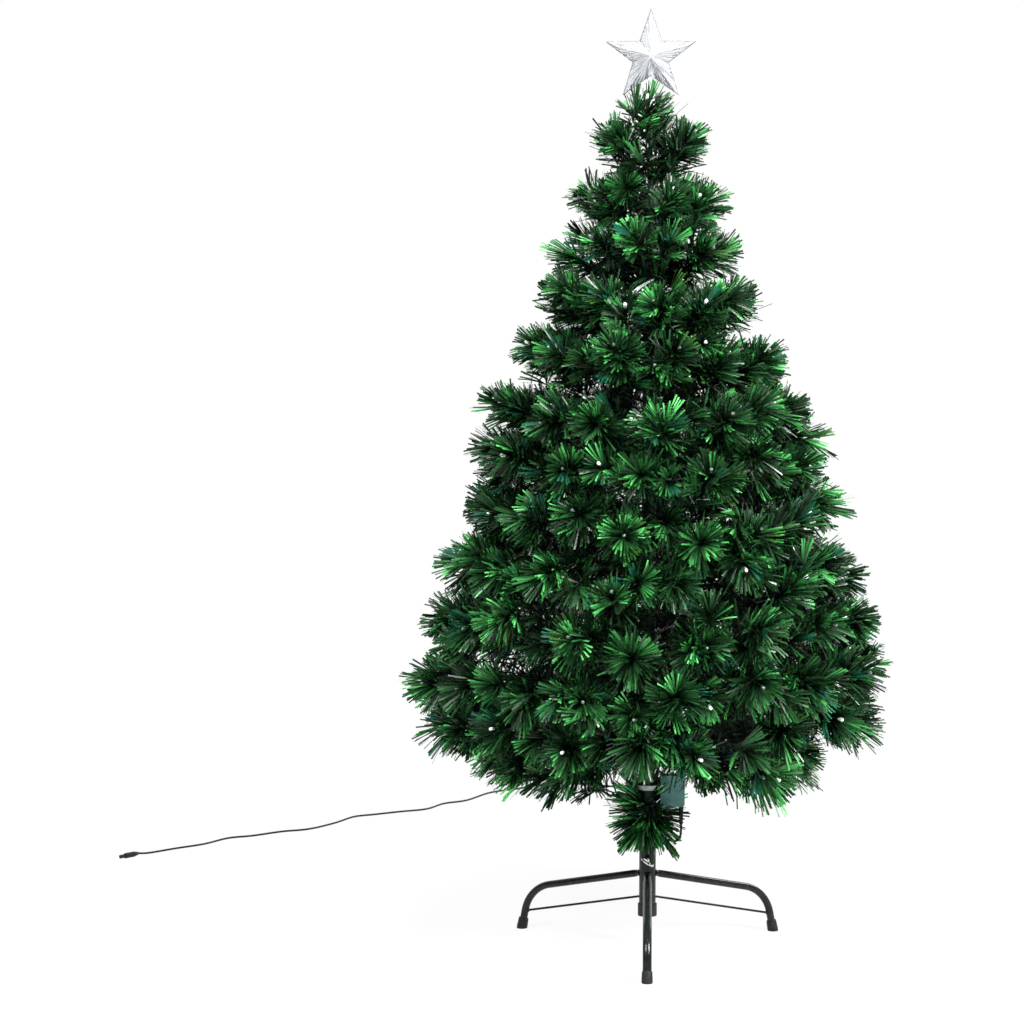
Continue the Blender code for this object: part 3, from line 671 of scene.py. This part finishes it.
def brush(chance, spot, axis, size=1.0, combs=brush_combs, dark=0.0):
    """The needles of one tip: combs wound on its axis, open at the back and nearly shut in front."""
    side, up = lean_frame(axis)
    comb, place = comb_places(combs)
    count = len(comb)
    share = comb / (combs - 1)
    opened = brush_open + (brush_shut - brush_open) * share**brush_shut_power
    opened = opened + chance.normal(0, comb_open_stray, combs)[comb]
    pitch = np.minimum(comb_pitch * math.sin(brush_open) / np.sin(opened), comb_pitch_limit)
    turn = comb * comb_turn + chance.normal(0, comb_turn_stray, combs)[comb]
    turn = turn + chance.uniform(0, first_turn_limit)
    turn = turn + place * pitch * chance.uniform(*comb_width_range, combs)[comb]
    turn = turn + chance.normal(0, needle_turn_stray, count)
    opened = np.clip(opened + chance.normal(0, needle_open_stray, count), *needle_open_limits)
    round_way = swung(turn, side, up)
    way = swung(opened, axis, round_way)
    start = spot + axis * ((-brush_back + (brush_back - brush_front) * share) * size)[:, None]
    reach = 1 + chance.normal(0, comb_reach_stray, combs)[comb]
    reach = brush_reach * size * (reach + chance.normal(0, needle_reach_stray, count))
    level = np.cross(axis, round_way)
    roll = chance.normal(0, comb_roll_stray, combs)[comb] + chance.normal(0, needle_roll_stray, count)
    across = swung(roll, level, np.cross(way, level))
    bend = chance.normal(0, comb_bend_stray, (combs, 3))[comb]
    bend = bend + chance.normal(0, needle_bend_stray, (count, 3))
    bend[:, 2] -= brush_droop
    # Painted shade: dark lowers the tones of brushes set back in the tree.
    middle = chance.uniform(*brush_tone_range) - dark
    tone = varied_with_glints(chance, comb_tones(chance, combs, middle)[comb])
    bare = np.cos(comb * comb_turn - chance.uniform(0, first_turn_limit)) > bare_side_limit
    lost = np.where(bare, worn_share, comb_lost_share)
    kept = (chance.random(count) > needle_lost_share) & (chance.random(combs)[comb] > lost)
    return [values[kept] for values in (start, way, across, bend, reach, tone)]


def comb_tones(chance, combs, middle):
    """A tone for each comb: mostly greens, with a few teal and olive ones."""
    tone = np.clip(middle + chance.normal(0, comb_tone_stray, combs), *comb_tone_limits)
    pick = chance.random(combs)
    tone = np.where(pick < teal_share, teal_tone, tone)
    return np.where(pick > olive_start, olive_tone, tone)


def varied_with_glints(chance, tone):
    """Varies the green tones from needle to needle, and makes a few needles clear film, painted pale as
    glints.
    """
    varied = np.clip(tone + chance.normal(0, needle_tone_stray, len(tone)), *needle_tone_limits)
    tone = np.where(tone < green_limit, varied, tone)
    return np.where(chance.random(len(tone)) < clear_glint_share, clear_glint_tone, tone)


def stem_curve(hub, spot, axis, shares):
    """Points and directions on the stem that leaves the hub and ends along a tip's axis."""
    held = spot - axis * stem_hold_share * np.linalg.norm(spot - hub)
    t = shares[:, None]
    points = (1 - t) ** 2 * hub + 2 * t * (1 - t) * held + t**2 * spot
    return points, unit(2 * (1 - t) * (held - hub) + 2 * t * (spot - held))


def sleeve(chance, hub, spot, way):
    """Short needles wound along a stem, in low tones that paint the shade inside the tree."""
    length = np.linalg.norm(spot - hub)
    count = int((length - brush_back / 2) / sleeve_pitch)
    k = np.arange(count)
    wound_share = 1 - sleeve_start_share - brush_back / 2 / length
    start, axis = stem_curve(hub, spot, way, sleeve_start_share + wound_share * k / count)
    side, up = lean_frame(axis)
    turn = k * 2 * math.pi / sleeve_needles_round + chance.normal(0, sleeve_turn_stray, count)
    round_way = swung(turn, side, up)
    way = swung(sleeve_open + chance.normal(0, sleeve_open_stray, count), axis, round_way)
    reach = sleeve_reach * np.minimum(1, sleeve_first_reach_share + k / count)
    reach = reach * (1 + chance.normal(0, sleeve_reach_stray, count))
    across = unit(np.cross(axis, round_way) + chance.normal(0, sleeve_roll_stray, (count, 3)))
    bend = chance.normal(0, sleeve_bend_stray, (count, 3))
    tone = np.clip(chance.normal(sleeve_painted_shade_tone, sleeve_tone_stray, count), *sleeve_tone_limits)
    return start, way, across, bend, reach, tone


def trunk_sleeve(chance):
    """Needles wound on the pole between the branches, as long as the tree is wide there, in a near-black
    tone that paints the shade deep inside the tree.
    """
    count = int((trunk_sleeve_high - trunk_sleeve_low) / trunk_sleeve_pitch)
    share = np.arange(count) / count
    turn = chance.uniform(0, 2 * math.pi, count)
    rise = chance.normal(trunk_sleeve_rise, trunk_rise_stray, count)
    round_way = outward_at(turn)
    way = unit(round_way + rise[:, None] * (0.0, 0.0, 1.0))
    start = round_way * pole_radius
    start[:, 2] = trunk_sleeve_low + (trunk_sleeve_high - trunk_sleeve_low) * share
    across = unit(np.cross(way, chance.normal(0, 1, (count, 3))))
    bend = chance.normal(0, trunk_bend_stray, (count, 3))
    reach = trunk_sleeve_reach - trunk_reach_loss * share
    reach = reach * (1 + chance.normal(0, trunk_reach_stray, count))
    return start, way, across, bend, reach, chance.normal(trunk_painted_shade_tone, trunk_tone_stray, count)


def garland(chance):
    """Combs that stand out round the pole's foot, from steeply down to up, clear of box and tie."""
    comb, place = comb_places(garland_combs)
    count = len(comb)
    share = comb / (garland_combs - 1)
    turn = comb * comb_turn + chance.normal(0, garland_turn_stray, garland_combs)[comb]
    turn = turn + place * comb_pitch * garland_comb_spread
    turn = turn + chance.normal(0, garland_needle_stray, count)
    height = garland_low + (garland_high - garland_low) * share
    sink = garland_sink - (garland_sink + garland_rise) * share**garland_sink_power
    sink = sink + chance.normal(0, garland_sink_stray, garland_combs)[comb]
    sink = sink + chance.normal(0, garland_needle_stray, count)
    reach = chance.uniform(*garland_reach_range, garland_combs)[comb]
    reach = garland_reach * (reach + chance.normal(0, garland_needle_reach_stray, count))
    degrees = (np.degrees(turn) + 180) % 360 - 180
    top = height + np.maximum(0, -np.sin(sink) * reach)
    by_box = (degrees > box_side[0]) & (degrees < box_side[1]) & (top > light_box_bottom - box_gap)
    by_tie = (degrees > tie_side[0]) & (degrees < tie_side[1]) & (top > tie_bottom)
    kept = ~(by_box | by_tie) & (chance.random(count) > garland_lost_share)
    round_way = outward_at(turn)
    way = round_way * np.cos(sink)[:, None]
    way[:, 2] = -np.sin(sink)
    start = round_way * garland_root
    start[:, 2] = height
    roll = chance.normal(0, garland_roll_stray, garland_combs)[comb]
    roll = roll + chance.normal(0, garland_needle_roll_stray, count)
    level = np.stack((-np.sin(turn), np.cos(turn), np.zeros(count)), axis=1)
    across = swung(roll, level, np.cross(way, level))
    bend = chance.normal(0, garland_bend_stray, (garland_combs, 3))[comb]
    bend[:, 2] -= garland_droop
    tone = varied_with_glints(chance, comb_tones(chance, garland_combs, garland_tone)[comb])
    return [values[kept] for values in (start, way, across, bend, reach, tone)]


def fibres(chance, spot, axis):
    """Long thin light fibres that leave the tip in loose arcs."""
    side, up = lean_frame(axis)
    turn = chance.uniform(0, 2 * math.pi, fibre_count)
    opened = chance.uniform(*fibre_open_range, fibre_count)
    way = swung(opened, axis, swung(turn, side, up))
    start = spot - axis * chance.uniform(*fibre_back_range, fibre_count)[:, None]
    across = np.cross(way, chance.normal(0, 1, (fibre_count, 3)))
    bend = chance.normal(0, fibre_bend_stray, (fibre_count, 3))
    reach = fibre_reach * chance.uniform(*fibre_reach_range, fibre_count)
    return start, way, across, bend, reach, chance.uniform(*fibre_tone_range, fibre_count)


def strips(name, parts, body, film, half_width, replaced=None):
    """One mesh of flat strips, riding on a body."""
    start, way, across, bend, reach, tone = [np.concatenate(column) for column in zip(*parts)]
    steps = np.linspace(0, 1, needle_steps + 1)
    across = unit(across - way * np.sum(across * way, axis=1, keepdims=True))
    gone = way[:, None] * steps[:, None] + bend[:, None] * steps[:, None] ** 2
    line = start[:, None] + gone * reach[:, None, None]
    widths = half_width * np.interp(steps, needle_width_spots, needle_width_shares)
    offset = across[:, None] * widths[:, None]
    points = np.stack((line - offset, line + offset), axis=2).reshape(-1, 3)
    rows = needle_steps + 1
    first = (np.arange(len(start))[:, None] * rows + np.arange(needle_steps)).reshape(-1) * 2
    corners = np.stack((first, first + 1, first + 3, first + 2), axis=1)
    which = corners // 2
    placed = np.stack((np.clip(tone, *map_limits)[which // rows], steps[which % rows]), axis=2)
    mapped_mesh(name, points, corners, placed, body, film, replaced)


def mapped_mesh(name, points, corners, placed, body, film, replaced=None):
    """A smooth mesh of quads with its map, riding on a body."""
    mesh = bpy.data.meshes.new(name)
    mesh.vertices.add(len(points))
    mesh.vertices.foreach_set("co", points.reshape(-1))
    mesh.loops.add(corners.size)
    mesh.loops.foreach_set("vertex_index", corners.reshape(-1))
    mesh.polygons.add(len(corners))
    mesh.polygons.foreach_set("loop_start", np.arange(len(corners)) * 4)
    mesh.polygons.foreach_set("loop_total", np.full(len(corners), 4))
    mesh.update(calc_edges=True)
    mesh.validate()
    mesh.uv_layers.new(name="OFBake").data.foreach_set("uv", placed.reshape(-1))
    mesh.shade_smooth()
    mesh.materials.append(film)
    piece = linked(name, mesh)
    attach(piece, body)
    if replaced:
        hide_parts(replaced)


def round_turns(sides):
    return np.arange(sides) * 2 * math.pi / sides


def ring_rows(middles, sides_way, ups_way, radii, turns):
    """Rings of points round each middle: stacks, rings, turns, 3."""
    level = np.cos(turns)[:, None] * sides_way[..., None, :]
    upright = np.sin(turns)[:, None] * ups_way[..., None, :]
    return middles[..., None, :] + (level + upright) * radii[..., None, None]


def ring_quads(stacks, rings, turns):
    """Corner numbers of the bands between the rings of each stack."""
    stack = np.arange(stacks)[:, None, None] * rings * turns
    ring = np.arange(rings - 1)[:, None] * turns
    k = np.arange(turns)
    beside = (k + 1) % turns
    low = stack + ring
    bands = (low + k, low + beside, low + turns + beside, low + turns + k)
    return np.stack(bands, axis=-1).reshape(-1, 4)


def bulbs(name, spots, body, chance):
    """The domed lamps in the middle of the brushes, with a short round body behind each dome."""
    middles = np.array([spot for spot, _ in spots])
    axes = np.array([axis for _, axis in spots])
    side, up = lean_frame(axes)
    shares = np.array(bulb_ring_shares)
    forward = np.where(shares > 0, shares * bulb_radius, shares * bulb_length)
    rings = len(shares)
    spots_on_axis = middles[:, None, :] + axes[:, None, :] * forward[:, None]
    sides_way = np.repeat(side[:, None, :], rings, axis=1)
    ups_way = np.repeat(up[:, None, :], rings, axis=1)
    radii = np.repeat((np.array(bulb_width_shares) * bulb_radius)[None, :], len(middles), axis=0)
    points = ring_rows(spots_on_axis, sides_way, ups_way, radii, round_turns(bulb_sides)).reshape(-1, 3)
    corners = ring_quads(len(middles), rings, bulb_sides)
    # Clear domes take the painted dark tone; the rest are milky.
    kind = np.where(chance.random(len(middles)) < milky_bulb_share, milky_tone, clear_dome_shade_tone)
    tone = kind[corners // (rings * bulb_sides)]
    placed = np.stack((tone, np.full(tone.shape, middling_tone)), axis=2)
    mapped_mesh(name, points, corners, placed, body, lamp_dome)


def stems(name, routes, body):
    """Wires from the hub to the tips, in dark thread."""
    shares = np.linspace(0, 1, wire_steps)
    curves = [stem_curve(hub, spot, axis, shares) for hub, spot, axis in routes]
    middles = np.array([points for points, _ in curves])
    side, up = lean_frame(np.array([ways for _, ways in curves]))
    radii = np.full(middles.shape[:2], wire_radius)
    points = ring_rows(middles, side, up, radii, round_turns(wire_sides)).reshape(-1, 3)
    corners = ring_quads(len(curves), wire_steps, wire_sides)
    mapped_mesh(name, points, corners, np.full((len(corners), 4, 2), stem_tone), body, needle_film)


def stray_ways(axis):
    """Less stray along a tip's axis than across it, so that the tree's outline holds."""
    return 1 - held_stray_share * np.abs(axis)


def add_bulb(chance, grown, spot, way, lit_share):
    """Adds a lamp just in front of a brush's middle, in a share of the brushes."""
    if chance.random() < lit_share:
        grown.bulbs.append((spot + way * bulb_forward * chance.uniform(*bulb_forward_range), way))


def grow_tip(chance, grown, hub, spot, axis, size, stray=tip_stray):
    """Adds a tip's brush, the smaller sprigs behind it, its fibres, its lamp and its sleeved stem."""
    way = unit(axis + chance.normal(0, tip_lean, 3))
    spot = spot + chance.normal(0, stray, 3) * stray_ways(axis)
    size = size * chance.uniform(*tip_size_range)
    combs = int(chance.uniform(*tip_combs_range) * brush_combs)
    grown.needles.append(brush(chance, spot, way, size, combs))
    grown.needles.append(sleeve(chance, hub, spot, way))
    for _ in range(sprig_count):
        leaning = unit(way + chance.normal(0, sprig_lean, 3))
        shift = chance.normal(0, sprig_stray, 3) * stray_ways(axis)
        root = spot - way * chance.uniform(*sprig_back_range) + shift
        grown.needles.append(brush(chance, root, leaning, sprig_size, sprig_combs, sprig_painted_shade))
    grown.fibres.append(fibres(chance, spot, way))
    add_bulb(chance, grown, spot, way, lit_tip_share)
    grown.stems.append((hub, spot, way))


def grow_between(chance, grown, hub, spot, axis, size):
    """Adds a smaller brush with its lamp and bare stem, in the gap beside a tip."""
    way = unit(axis + chance.normal(0, tip_lean, 3))
    stray = chance.normal(0, tip_stray, 3) * stray_ways(axis)
    spot = spot - axis * between_back * chance.uniform(*between_back_range) + stray
    size = size * chance.uniform(*between_size_range)
    combs = int(between_combs * chance.uniform(*between_combs_range))
    grown.needles.append(brush(chance, spot, way, size, combs, between_painted_shade))
    add_bulb(chance, grown, spot, way, lit_tip_share / 2)
    grown.stems.append((hub, spot, way))


def show_growth(part, grown, chance, body, replaced):
    strips(f"needles_{part}", grown.needles, body, needle_film, needle_half_width, replaced)
    strips(f"fibres_{part}", grown.fibres, body, light_fibre, fibre_half_width)
    bulbs(f"lights_{part}", grown.bulbs, body, chance)
    stems(f"stems_{part}", grown.stems, body)


def hub_at(azimuth, height, across, level):
    """A stem's start on its root: across is an angle from the root's middle, level -1, 0 or 1."""
    angle = math.radians(azimuth) + across
    rise = height + level * root_height / 4
    return np.array((root_reach * math.cos(angle), root_reach * math.sin(angle), rise))


def wrapped_root(name, azimuth, height, half_angle, body):
    """The thread that binds a branch's stems to the pole: a rounded block round part of it."""

    def rounded(values):
        return np.sign(values) * np.abs(values) ** root_round_power

    across = np.linspace(-half_angle, half_angle, root_steps) + math.radians(azimuth)
    middle_reach = (pole_radius + fit_gap + root_reach) / 2
    half_depth = (root_reach - pole_radius - fit_gap) / 2
    turns = round_turns(root_turns)
    wide = rounded(np.cos(turns)) * half_depth
    tall = rounded(np.sin(turns)) * root_height / 2
    ends = np.ones(root_steps)
    ends[0] = ends[-1] = root_end_share
    ends[1] = ends[-2] = root_edge_share
    points = outward_at(across)[:, None, :] * (middle_reach + wide * ends[:, None])[..., None]
    points[..., 2] = height + tall * ends[:, None]
    corners = ring_quads(1, root_steps, root_turns)
    placed = np.full((len(corners), 4, 2), middling_tone)
    mapped_mesh(name, points.reshape(-1, 3), corners, placed, body, wound_thread)


def dress_branches():
    """Grows each branch's tips, two rows to a tier, and wraps its root."""
    for number, tier in enumerate(tier_shares):
        half_angle = min(root_angle_share * math.radians(360 / tier.branches), root_angle_limit)
        for branch in range(tier.branches):
            chance = np.random.default_rng(branch_seed_step * number + branch)
            azimuth = tier.turn + 360 * branch / tier.branches
            grown = Growth([], [], [], [])
            for row, shift in ((tier.low, -1), (tier.high, 1)):
                for column, tip_azimuth in enumerate(row_azimuths(tier, branch, shift)):
                    across = half_angle * ((2 * column + 1) / tier.columns - 1)
                    hub = hub_at(azimuth, height_at(tier.hub_share), across, shift)
                    spot, axis, size = placed_tip(row, tip_azimuth)
                    grow_tip(chance, grown, hub, spot, axis, size)
                    beside = tip_azimuth + 180 / (tier.branches * tier.columns)
                    spot, axis, size = placed_tip(row, beside)
                    grow_between(chance, grown, hub, spot, axis, size * between_size)
            part = f"{tier.name}_{'abcdef'[branch]}"
            show_growth(part, grown, chance, f"branch_{part}", f"branch_{part}")
            wrapped_root(f"root_{part}", azimuth, height_at(tier.hub_share), half_angle, f"branch_{part}")


def dress_leader():
    """Grows the tips round the leader rod, and the needles wound on the pole and on its foot."""
    chance = np.random.default_rng(leader_seed)
    grown = Growth([trunk_sleeve(chance)], [], [], [])
    for azimuth, row in leader_row_shares:
        spot, axis = tip_at(row, azimuth)
        hub = hub_at(azimuth, height_at(leader_hub_share), 0, 0)
        grow_tip(chance, grown, hub, spot, axis, leader_size, leader_stray)
    show_growth("leader", grown, chance, "trunk", "leader_cluster")
    wrapped_root("root_leader", 0, height_at(leader_hub_share), math.pi, "trunk")
    strips("needles_garland", [garland(chance)], "trunk", needle_film, needle_half_width, "trunk_garland")


dress_branches()
dress_leader()


# Star


def star_edge(turn):
    """The star's reach at an angle from its upper point."""
    step = math.pi / 5
    gone = abs((turn + step) % (2 * step) - step)
    waist = star_radius * star_waist_share
    return star_radius * waist * math.sin(step) / (
        star_radius * math.sin(gone) + waist * math.sin(step - gone)
    )


def ribbed_half(name, way, replaced):
    """One hollow half of the star, with ribs that fan out from its middle."""
    middle = tree_height - star_radius
    chance = np.random.default_rng(star_seed)
    layers = ((1, star_half_depth), (star_inner_share, star_half_depth - star_wall))
    verts, faces, tones = [], [], []
    for layer, (scale, deep) in enumerate(layers):
        for share in star_ring_shares:
            for k in range(star_turns):
                turn = 2 * math.pi * k / star_turns
                reach = star_edge(turn) * share * scale
                x, z = -reach * math.sin(turn), reach * math.cos(turn) + middle
                rib = min(star_rib_depth * share * (1 - share) * 4, reach * star_rib_steepness) * (k % 2)
                # Painted shade: every second turn is a groove, given a random darker tone that deepens
                # towards the star's bottom.
                tone = star_plain_tone
                if k % 2 and share > star_groove_start_share:
                    low = 0.5 - 0.5 * math.cos(turn)
                    tone = chance.uniform(star_groove_shade_tone - star_groove_shade_tone * low, 1.0)
                tones.append(star_rim_shade_tone if share > star_rim_share else tone)
                y = deep * (1 - share) + (rib if layer == 0 else -rib / 2)
                if z < socket_top_height and abs(x) < socket_radius:
                    y = max(y, math.sqrt(socket_radius**2 - x * x) + (1 - layer) * star_wall)
                verts.append((x, way * (fit_gap / 2 + y), z))
    rings = len(star_ring_shares)

    def at(layer, ring, k):
        return (layer * rings + ring) * star_turns + k % star_turns

    for layer in (0, 1):
        faces.append([at(layer, 0, k) for k in range(star_turns)])
        for ring in range(rings - 1):
            for k in range(star_turns):
                faces.append([at(layer, ring, k), at(layer, ring, k + 1),
                              at(layer, ring + 1, k + 1), at(layer, ring + 1, k)])
    last = rings - 1
    for k in range(star_turns):
        faces.append([at(0, last, k), at(0, last, k + 1), at(1, last, k + 1), at(1, last, k)])
    mesh = bpy.data.meshes.new(name)
    mesh.from_pydata(verts, [], faces)
    mesh.update()
    piece = linked(name, mesh)
    shape = bmesh.new()
    shape.from_mesh(mesh)
    bmesh.ops.recalc_face_normals(shape, faces=shape.faces)
    shape.to_mesh(mesh)
    shape.free()
    places = mesh.uv_layers.new(name="OFBake")
    for loop in mesh.loops:
        places.data[loop.index].uv = (tones[loop.vertex_index], middling_tone)
    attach(piece, "star")
    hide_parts(replaced)
    mesh.materials.append(star_plastic)


ribbed_half("star_ribbed_front", -1, "star_front")
ribbed_half("star_ribbed_back", 1, "star_back")


# Cord


def smooth_route(chosen, count):
    """Evenly spaced points on the smooth curve through chosen points."""
    chosen = [Vector(point) for point in chosen]
    padded = [2 * chosen[0] - chosen[1], *chosen, 2 * chosen[-1] - chosen[-2]]
    fine = []
    for a, b, c, d in zip(padded, padded[1:], padded[2:], padded[3:]):
        for k in range(route_steps):
            t = k / route_steps
            bend = (2 * a - 5 * b + 4 * c - d) * t * t + (3 * b - a - 3 * c + d) * t * t * t
            fine.append((2 * b + (c - a) * t + bend) / 2)
    fine.append(chosen[-1])
    gone = [0.0]
    for p, q in zip(fine, fine[1:]):
        gone.append(gone[-1] + (q - p).length)
    wanted = np.linspace(0, gone[-1], count)
    spots = np.array([tuple(point) for point in fine])
    return np.stack([np.interp(wanted, gone, spots[:, i]) for i in range(3)], axis=1)


def tube(name, points, radius):
    """A closed round tube along points."""
    shape = bmesh.new()
    rings = []
    side = None
    turns = [2 * math.pi * k / cord_sides for k in range(cord_sides)]
    for i, point in enumerate(points):
        ahead = Vector(points[min(i + 1, len(points) - 1)]) - Vector(points[max(i - 1, 0)])
        ahead.normalize()
        if side is None:
            side = ahead.orthogonal().normalized()
        side = (side - ahead * side.dot(ahead)).normalized()
        up = ahead.cross(side)
        rings.append([
            shape.verts.new(Vector(point) + (side * math.cos(a) + up * math.sin(a)) * radius) for a in turns
        ])
    return linked(name, skinned(name, shape, rings))


def lay_cord():
    """The cord from the pole's clip down to the floor and along it to the plug."""
    heading = Vector((*plug_heading, 0)).normalized()
    end = Vector((*plug_spot, plug_radius)) - heading * fit_gap
    on_floor = [(x, y, cord_floor_height) for x, y in cord_route]
    path = smooth_route([cord_exit, *cord_drop, *on_floor, end], 4 * cord_points)
    piece = tube("cord", path, cord_radius)
    piece.data.materials.append(moulded_black)
    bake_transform(piece)
    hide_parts("power_cord")


lay_cord()


# Stand's smooth pieces


def leg_route():
    """The leg's middle line in its own plane, with the direction at each point."""
    leg_rise = leg_root_height - ankle_height
    slope = math.atan(leg_fall_share * leg_rise / foot_circle_radius)
    radius = leg_bend_share * leg_rise
    upward = np.array((-math.cos(foot_splay), math.sin(foot_splay)))
    root = np.array((tube_radius, leg_root_height))
    end = np.array((foot_circle_radius, 0.0)) + upward * leg_end_lift
    arm = np.array((math.cos(slope), -math.sin(slope)))
    swept = (math.sin(foot_splay) - math.sin(slope), math.cos(foot_splay) - math.cos(slope))
    rest = end - root - radius * np.array(swept)
    drop = -upward
    arm_length = (rest[0] * drop[1] - rest[1] * drop[0]) / (arm[0] * drop[1] - arm[1] * drop[0])
    quarters = (arm_length / 4, arm_length / 2, 3 * arm_length / 4)
    points = [root + arm * along for along in (0.0, weld_edge, weld_length, leg_pinch_length, *quarters)]
    ways = [arm] * len(points)
    for k in range(leg_steps + 1):
        angle = slope + (foot_splay - slope) * k / leg_steps
        swung_by = np.array((math.sin(angle) - math.sin(slope), math.cos(angle) - math.cos(slope)))
        points.append(root + arm * arm_length + radius * swung_by)
        ways.append(np.array((math.cos(angle), -math.sin(angle))))
    return np.array([*points, end]), np.array([*ways, drop])


def smooth_sweep(name, route, ways, halves, azimuth, paint, replaced, sole=False):
    """A closed round sweep along a route in the plane at the azimuth, with (side, thick) halves."""
    angle = math.radians(azimuth)
    outward = Vector((math.cos(angle), math.sin(angle), 0))
    side = Vector((-math.sin(angle), math.cos(angle), 0))
    up = Vector((0, 0, 1))
    shape = bmesh.new()
    rings = []
    for number, (point, way, (wide, thick)) in enumerate(zip(route, ways, halves)):
        middle = outward * point[0] + up * point[1]
        along = outward * way[0] + up * way[1]
        across = side.cross(along)
        row = []
        for k in range(leg_turns):
            turn = 2 * math.pi * k / leg_turns
            spot = middle + side * math.cos(turn) * wide + across * math.sin(turn) * thick
            if sole and number == 0:
                spot = spot - along * (spot.z / along.z)
            row.append(shape.verts.new(spot))
        rings.append(row)
    mesh = skinned(name, shape, rings)
    mesh.set_sharp_from_angle(angle=sharp_edge)
    mesh.materials.append(paint)
    piece = linked(name, mesh)
    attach(piece, "stand")
    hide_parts(replaced)


def dress_stand():
    """Bent legs with pinched, welded ends, thin braces and moulded foot caps."""
    route, ways = leg_route()
    pinched = leg_pinch_share
    shares = [pinched * leg_weld_share, pinched * leg_neck_share, pinched] + [1.0] * (len(route) - 3)
    halves = [(leg_half_width * share, leg_half_thickness * share) for share in shares]
    upward = np.array((-math.cos(foot_splay), math.sin(foot_splay)))
    cap_route = [np.array((foot_circle_radius, 0.0)) + upward * along for along, _ in foot_cap_rings]
    cap_halves = [(radius, radius) for _, radius in foot_cap_rings]
    reach = np.interp(-brace_end_height, -route[:, 1], route[:, 0])
    brace_ends = np.array(((tube_radius, brace_root_height), (reach - leg_half_thickness, brace_end_height)))
    length = np.linalg.norm(brace_ends[1] - brace_ends[0])
    brace_way = (brace_ends[1] - brace_ends[0]) / length
    first_half = (0.0, weld_edge, weld_length, length / 2)
    along = np.array((*first_half, length - weld_length, length - weld_edge, length))
    brace_route = brace_ends[0] + brace_way * along[:, None]
    brace_shares = (brace_weld_share, brace_neck_share, 1, 1, 1, brace_neck_share, brace_weld_share)
    brace_halves = [(brace_radius * share, brace_radius * share) for share in brace_shares]
    brace_ways = [brace_way] * len(brace_route)
    for name, azimuth in leg_azimuths.items():
        smooth_sweep(f"bent_leg_{name}", route, ways, halves, azimuth, gloss_black,
                     f"leg_{name}")
        smooth_sweep(f"rod_brace_{name}", brace_route, brace_ways, brace_halves, azimuth, gloss_black,
                     f"brace_{name}")
        smooth_sweep(f"moulded_foot_{name}", cap_route, [upward] * len(cap_route), cap_halves, azimuth,
                     moulded_black, f"foot_{name}", sole=True)


dress_stand()


# Finishes of the solids that stay


def finish(paint, *names):
    for name in names:
        for slot in nodes[name].material_slots:
            slot.material = paint


finish(gloss_black, "socket_tube", "screw_boss")
finish(moulded_black, "tube_end_cap", "cord_plug", "lead_relief", "box_lead", "led_lead", "cord_clip")
finish(bright_steel, "screw_shank", "screw_eye")
finish(green_pole, "trunk_pole")
finish(pale_tie, "stem_tie")
finish(teal_plastic, "light_box_front", "light_box_back")
finish(circuit_board, "light_board")
finish(clear_socket, "star_socket")


# Floor, lamps and camera


def make_floor():
    """A white floor that keeps a soft shadow near the tree and fades into the background."""
    bpy.ops.mesh.primitive_plane_add(size=floor_width, location=(0, 0, 0))
    floor = bpy.context.object
    floor.name = "studio_floor"
    made, tree, shader = new_material("floor_white")
    set_inputs(shader, Base_Color=(0.9, 0.9, 0.9, 1), Roughness=0.9)
    matt = shader.outputs["BSDF"]
    glow = tree.nodes.new("ShaderNodeEmission")
    place = tree.nodes.new("ShaderNodeTexCoord")
    away = tree.nodes.new("ShaderNodeVectorMath")
    away.operation = "LENGTH"
    tree.links.new(place.outputs["Object"], away.inputs[0])
    fade = mapped(tree, away.outputs["Value"], floor_fade_radii, (floor_glow_share, 1.0))
    white = mixed(tree, fade, matt, glow.outputs["Emission"])
    seen = mixed(tree, shown_rays(tree), matt, white)
    tree.links.new(seen, tree.nodes["Material Output"].inputs["Surface"])
    floor.data.materials.append(made)


def shown_rays(tree):
    """1 for rays that show the background: from the camera, in a reflection or through glass."""
    path = tree.nodes.new("ShaderNodeLightPath").outputs
    found = larger(tree, path["Is Camera Ray"], path["Is Glossy Ray"])
    return larger(tree, found, path["Is Transmission Ray"])


def make_world():
    """White for the camera, dimmer on the viewer's side in reflections, and plain ambient light."""
    world = bpy.data.worlds.new("studio")
    world.use_nodes = True
    tree = world.node_tree
    ambient = tree.nodes["Background"]
    set_inputs(ambient, Color=(1, 1, 1, 1), Strength=ambient_strength)
    shown = tree.nodes.new("ShaderNodeBackground")
    set_inputs(shown, Color=(1, 1, 1, 1))
    place = tree.nodes.new("ShaderNodeTexCoord")
    parts = tree.nodes.new("ShaderNodeSeparateXYZ")
    tree.links.new(place.outputs["Generated"], parts.inputs["Vector"])
    behind = mapped(tree, parts.outputs["Y"], viewer_side_limits, (viewer_side_strength, 1.0))
    path = tree.nodes.new("ShaderNodeLightPath")
    whiter = larger(tree, path.outputs["Is Camera Ray"], behind)
    tree.links.new(whiter, shown.inputs["Strength"])
    mix = mixed(tree, shown_rays(tree), ambient.outputs["Background"], shown.outputs["Background"])
    tree.links.new(mix, tree.nodes["World Output"].inputs["Surface"])
    bpy.context.scene.world = world


def add_lamp(name, spot, aim, size, power):
    lamp = bpy.data.lights.new(name, "AREA")
    lamp.shape = "RECTANGLE"
    lamp.size, lamp.size_y = size
    lamp.energy = power
    holder = linked(name, lamp)
    holder.location = spot
    holder.rotation_euler = (Vector(aim) - Vector(spot)).to_track_quat("-Z", "Y").to_euler()


def add_camera():
    view = bpy.data.cameras.new("photo_view")
    view.lens = camera_lens
    holder = linked("photo_view", view)
    holder.location = camera_spot
    holder.rotation_euler = (camera_pitch, 0, camera_turn)
    bpy.context.scene.camera = holder


make_floor()
make_world()
for lamp in lamps:
    add_lamp(*lamp)
add_camera()
bpy.context.scene.view_settings.view_transform = "Standard"
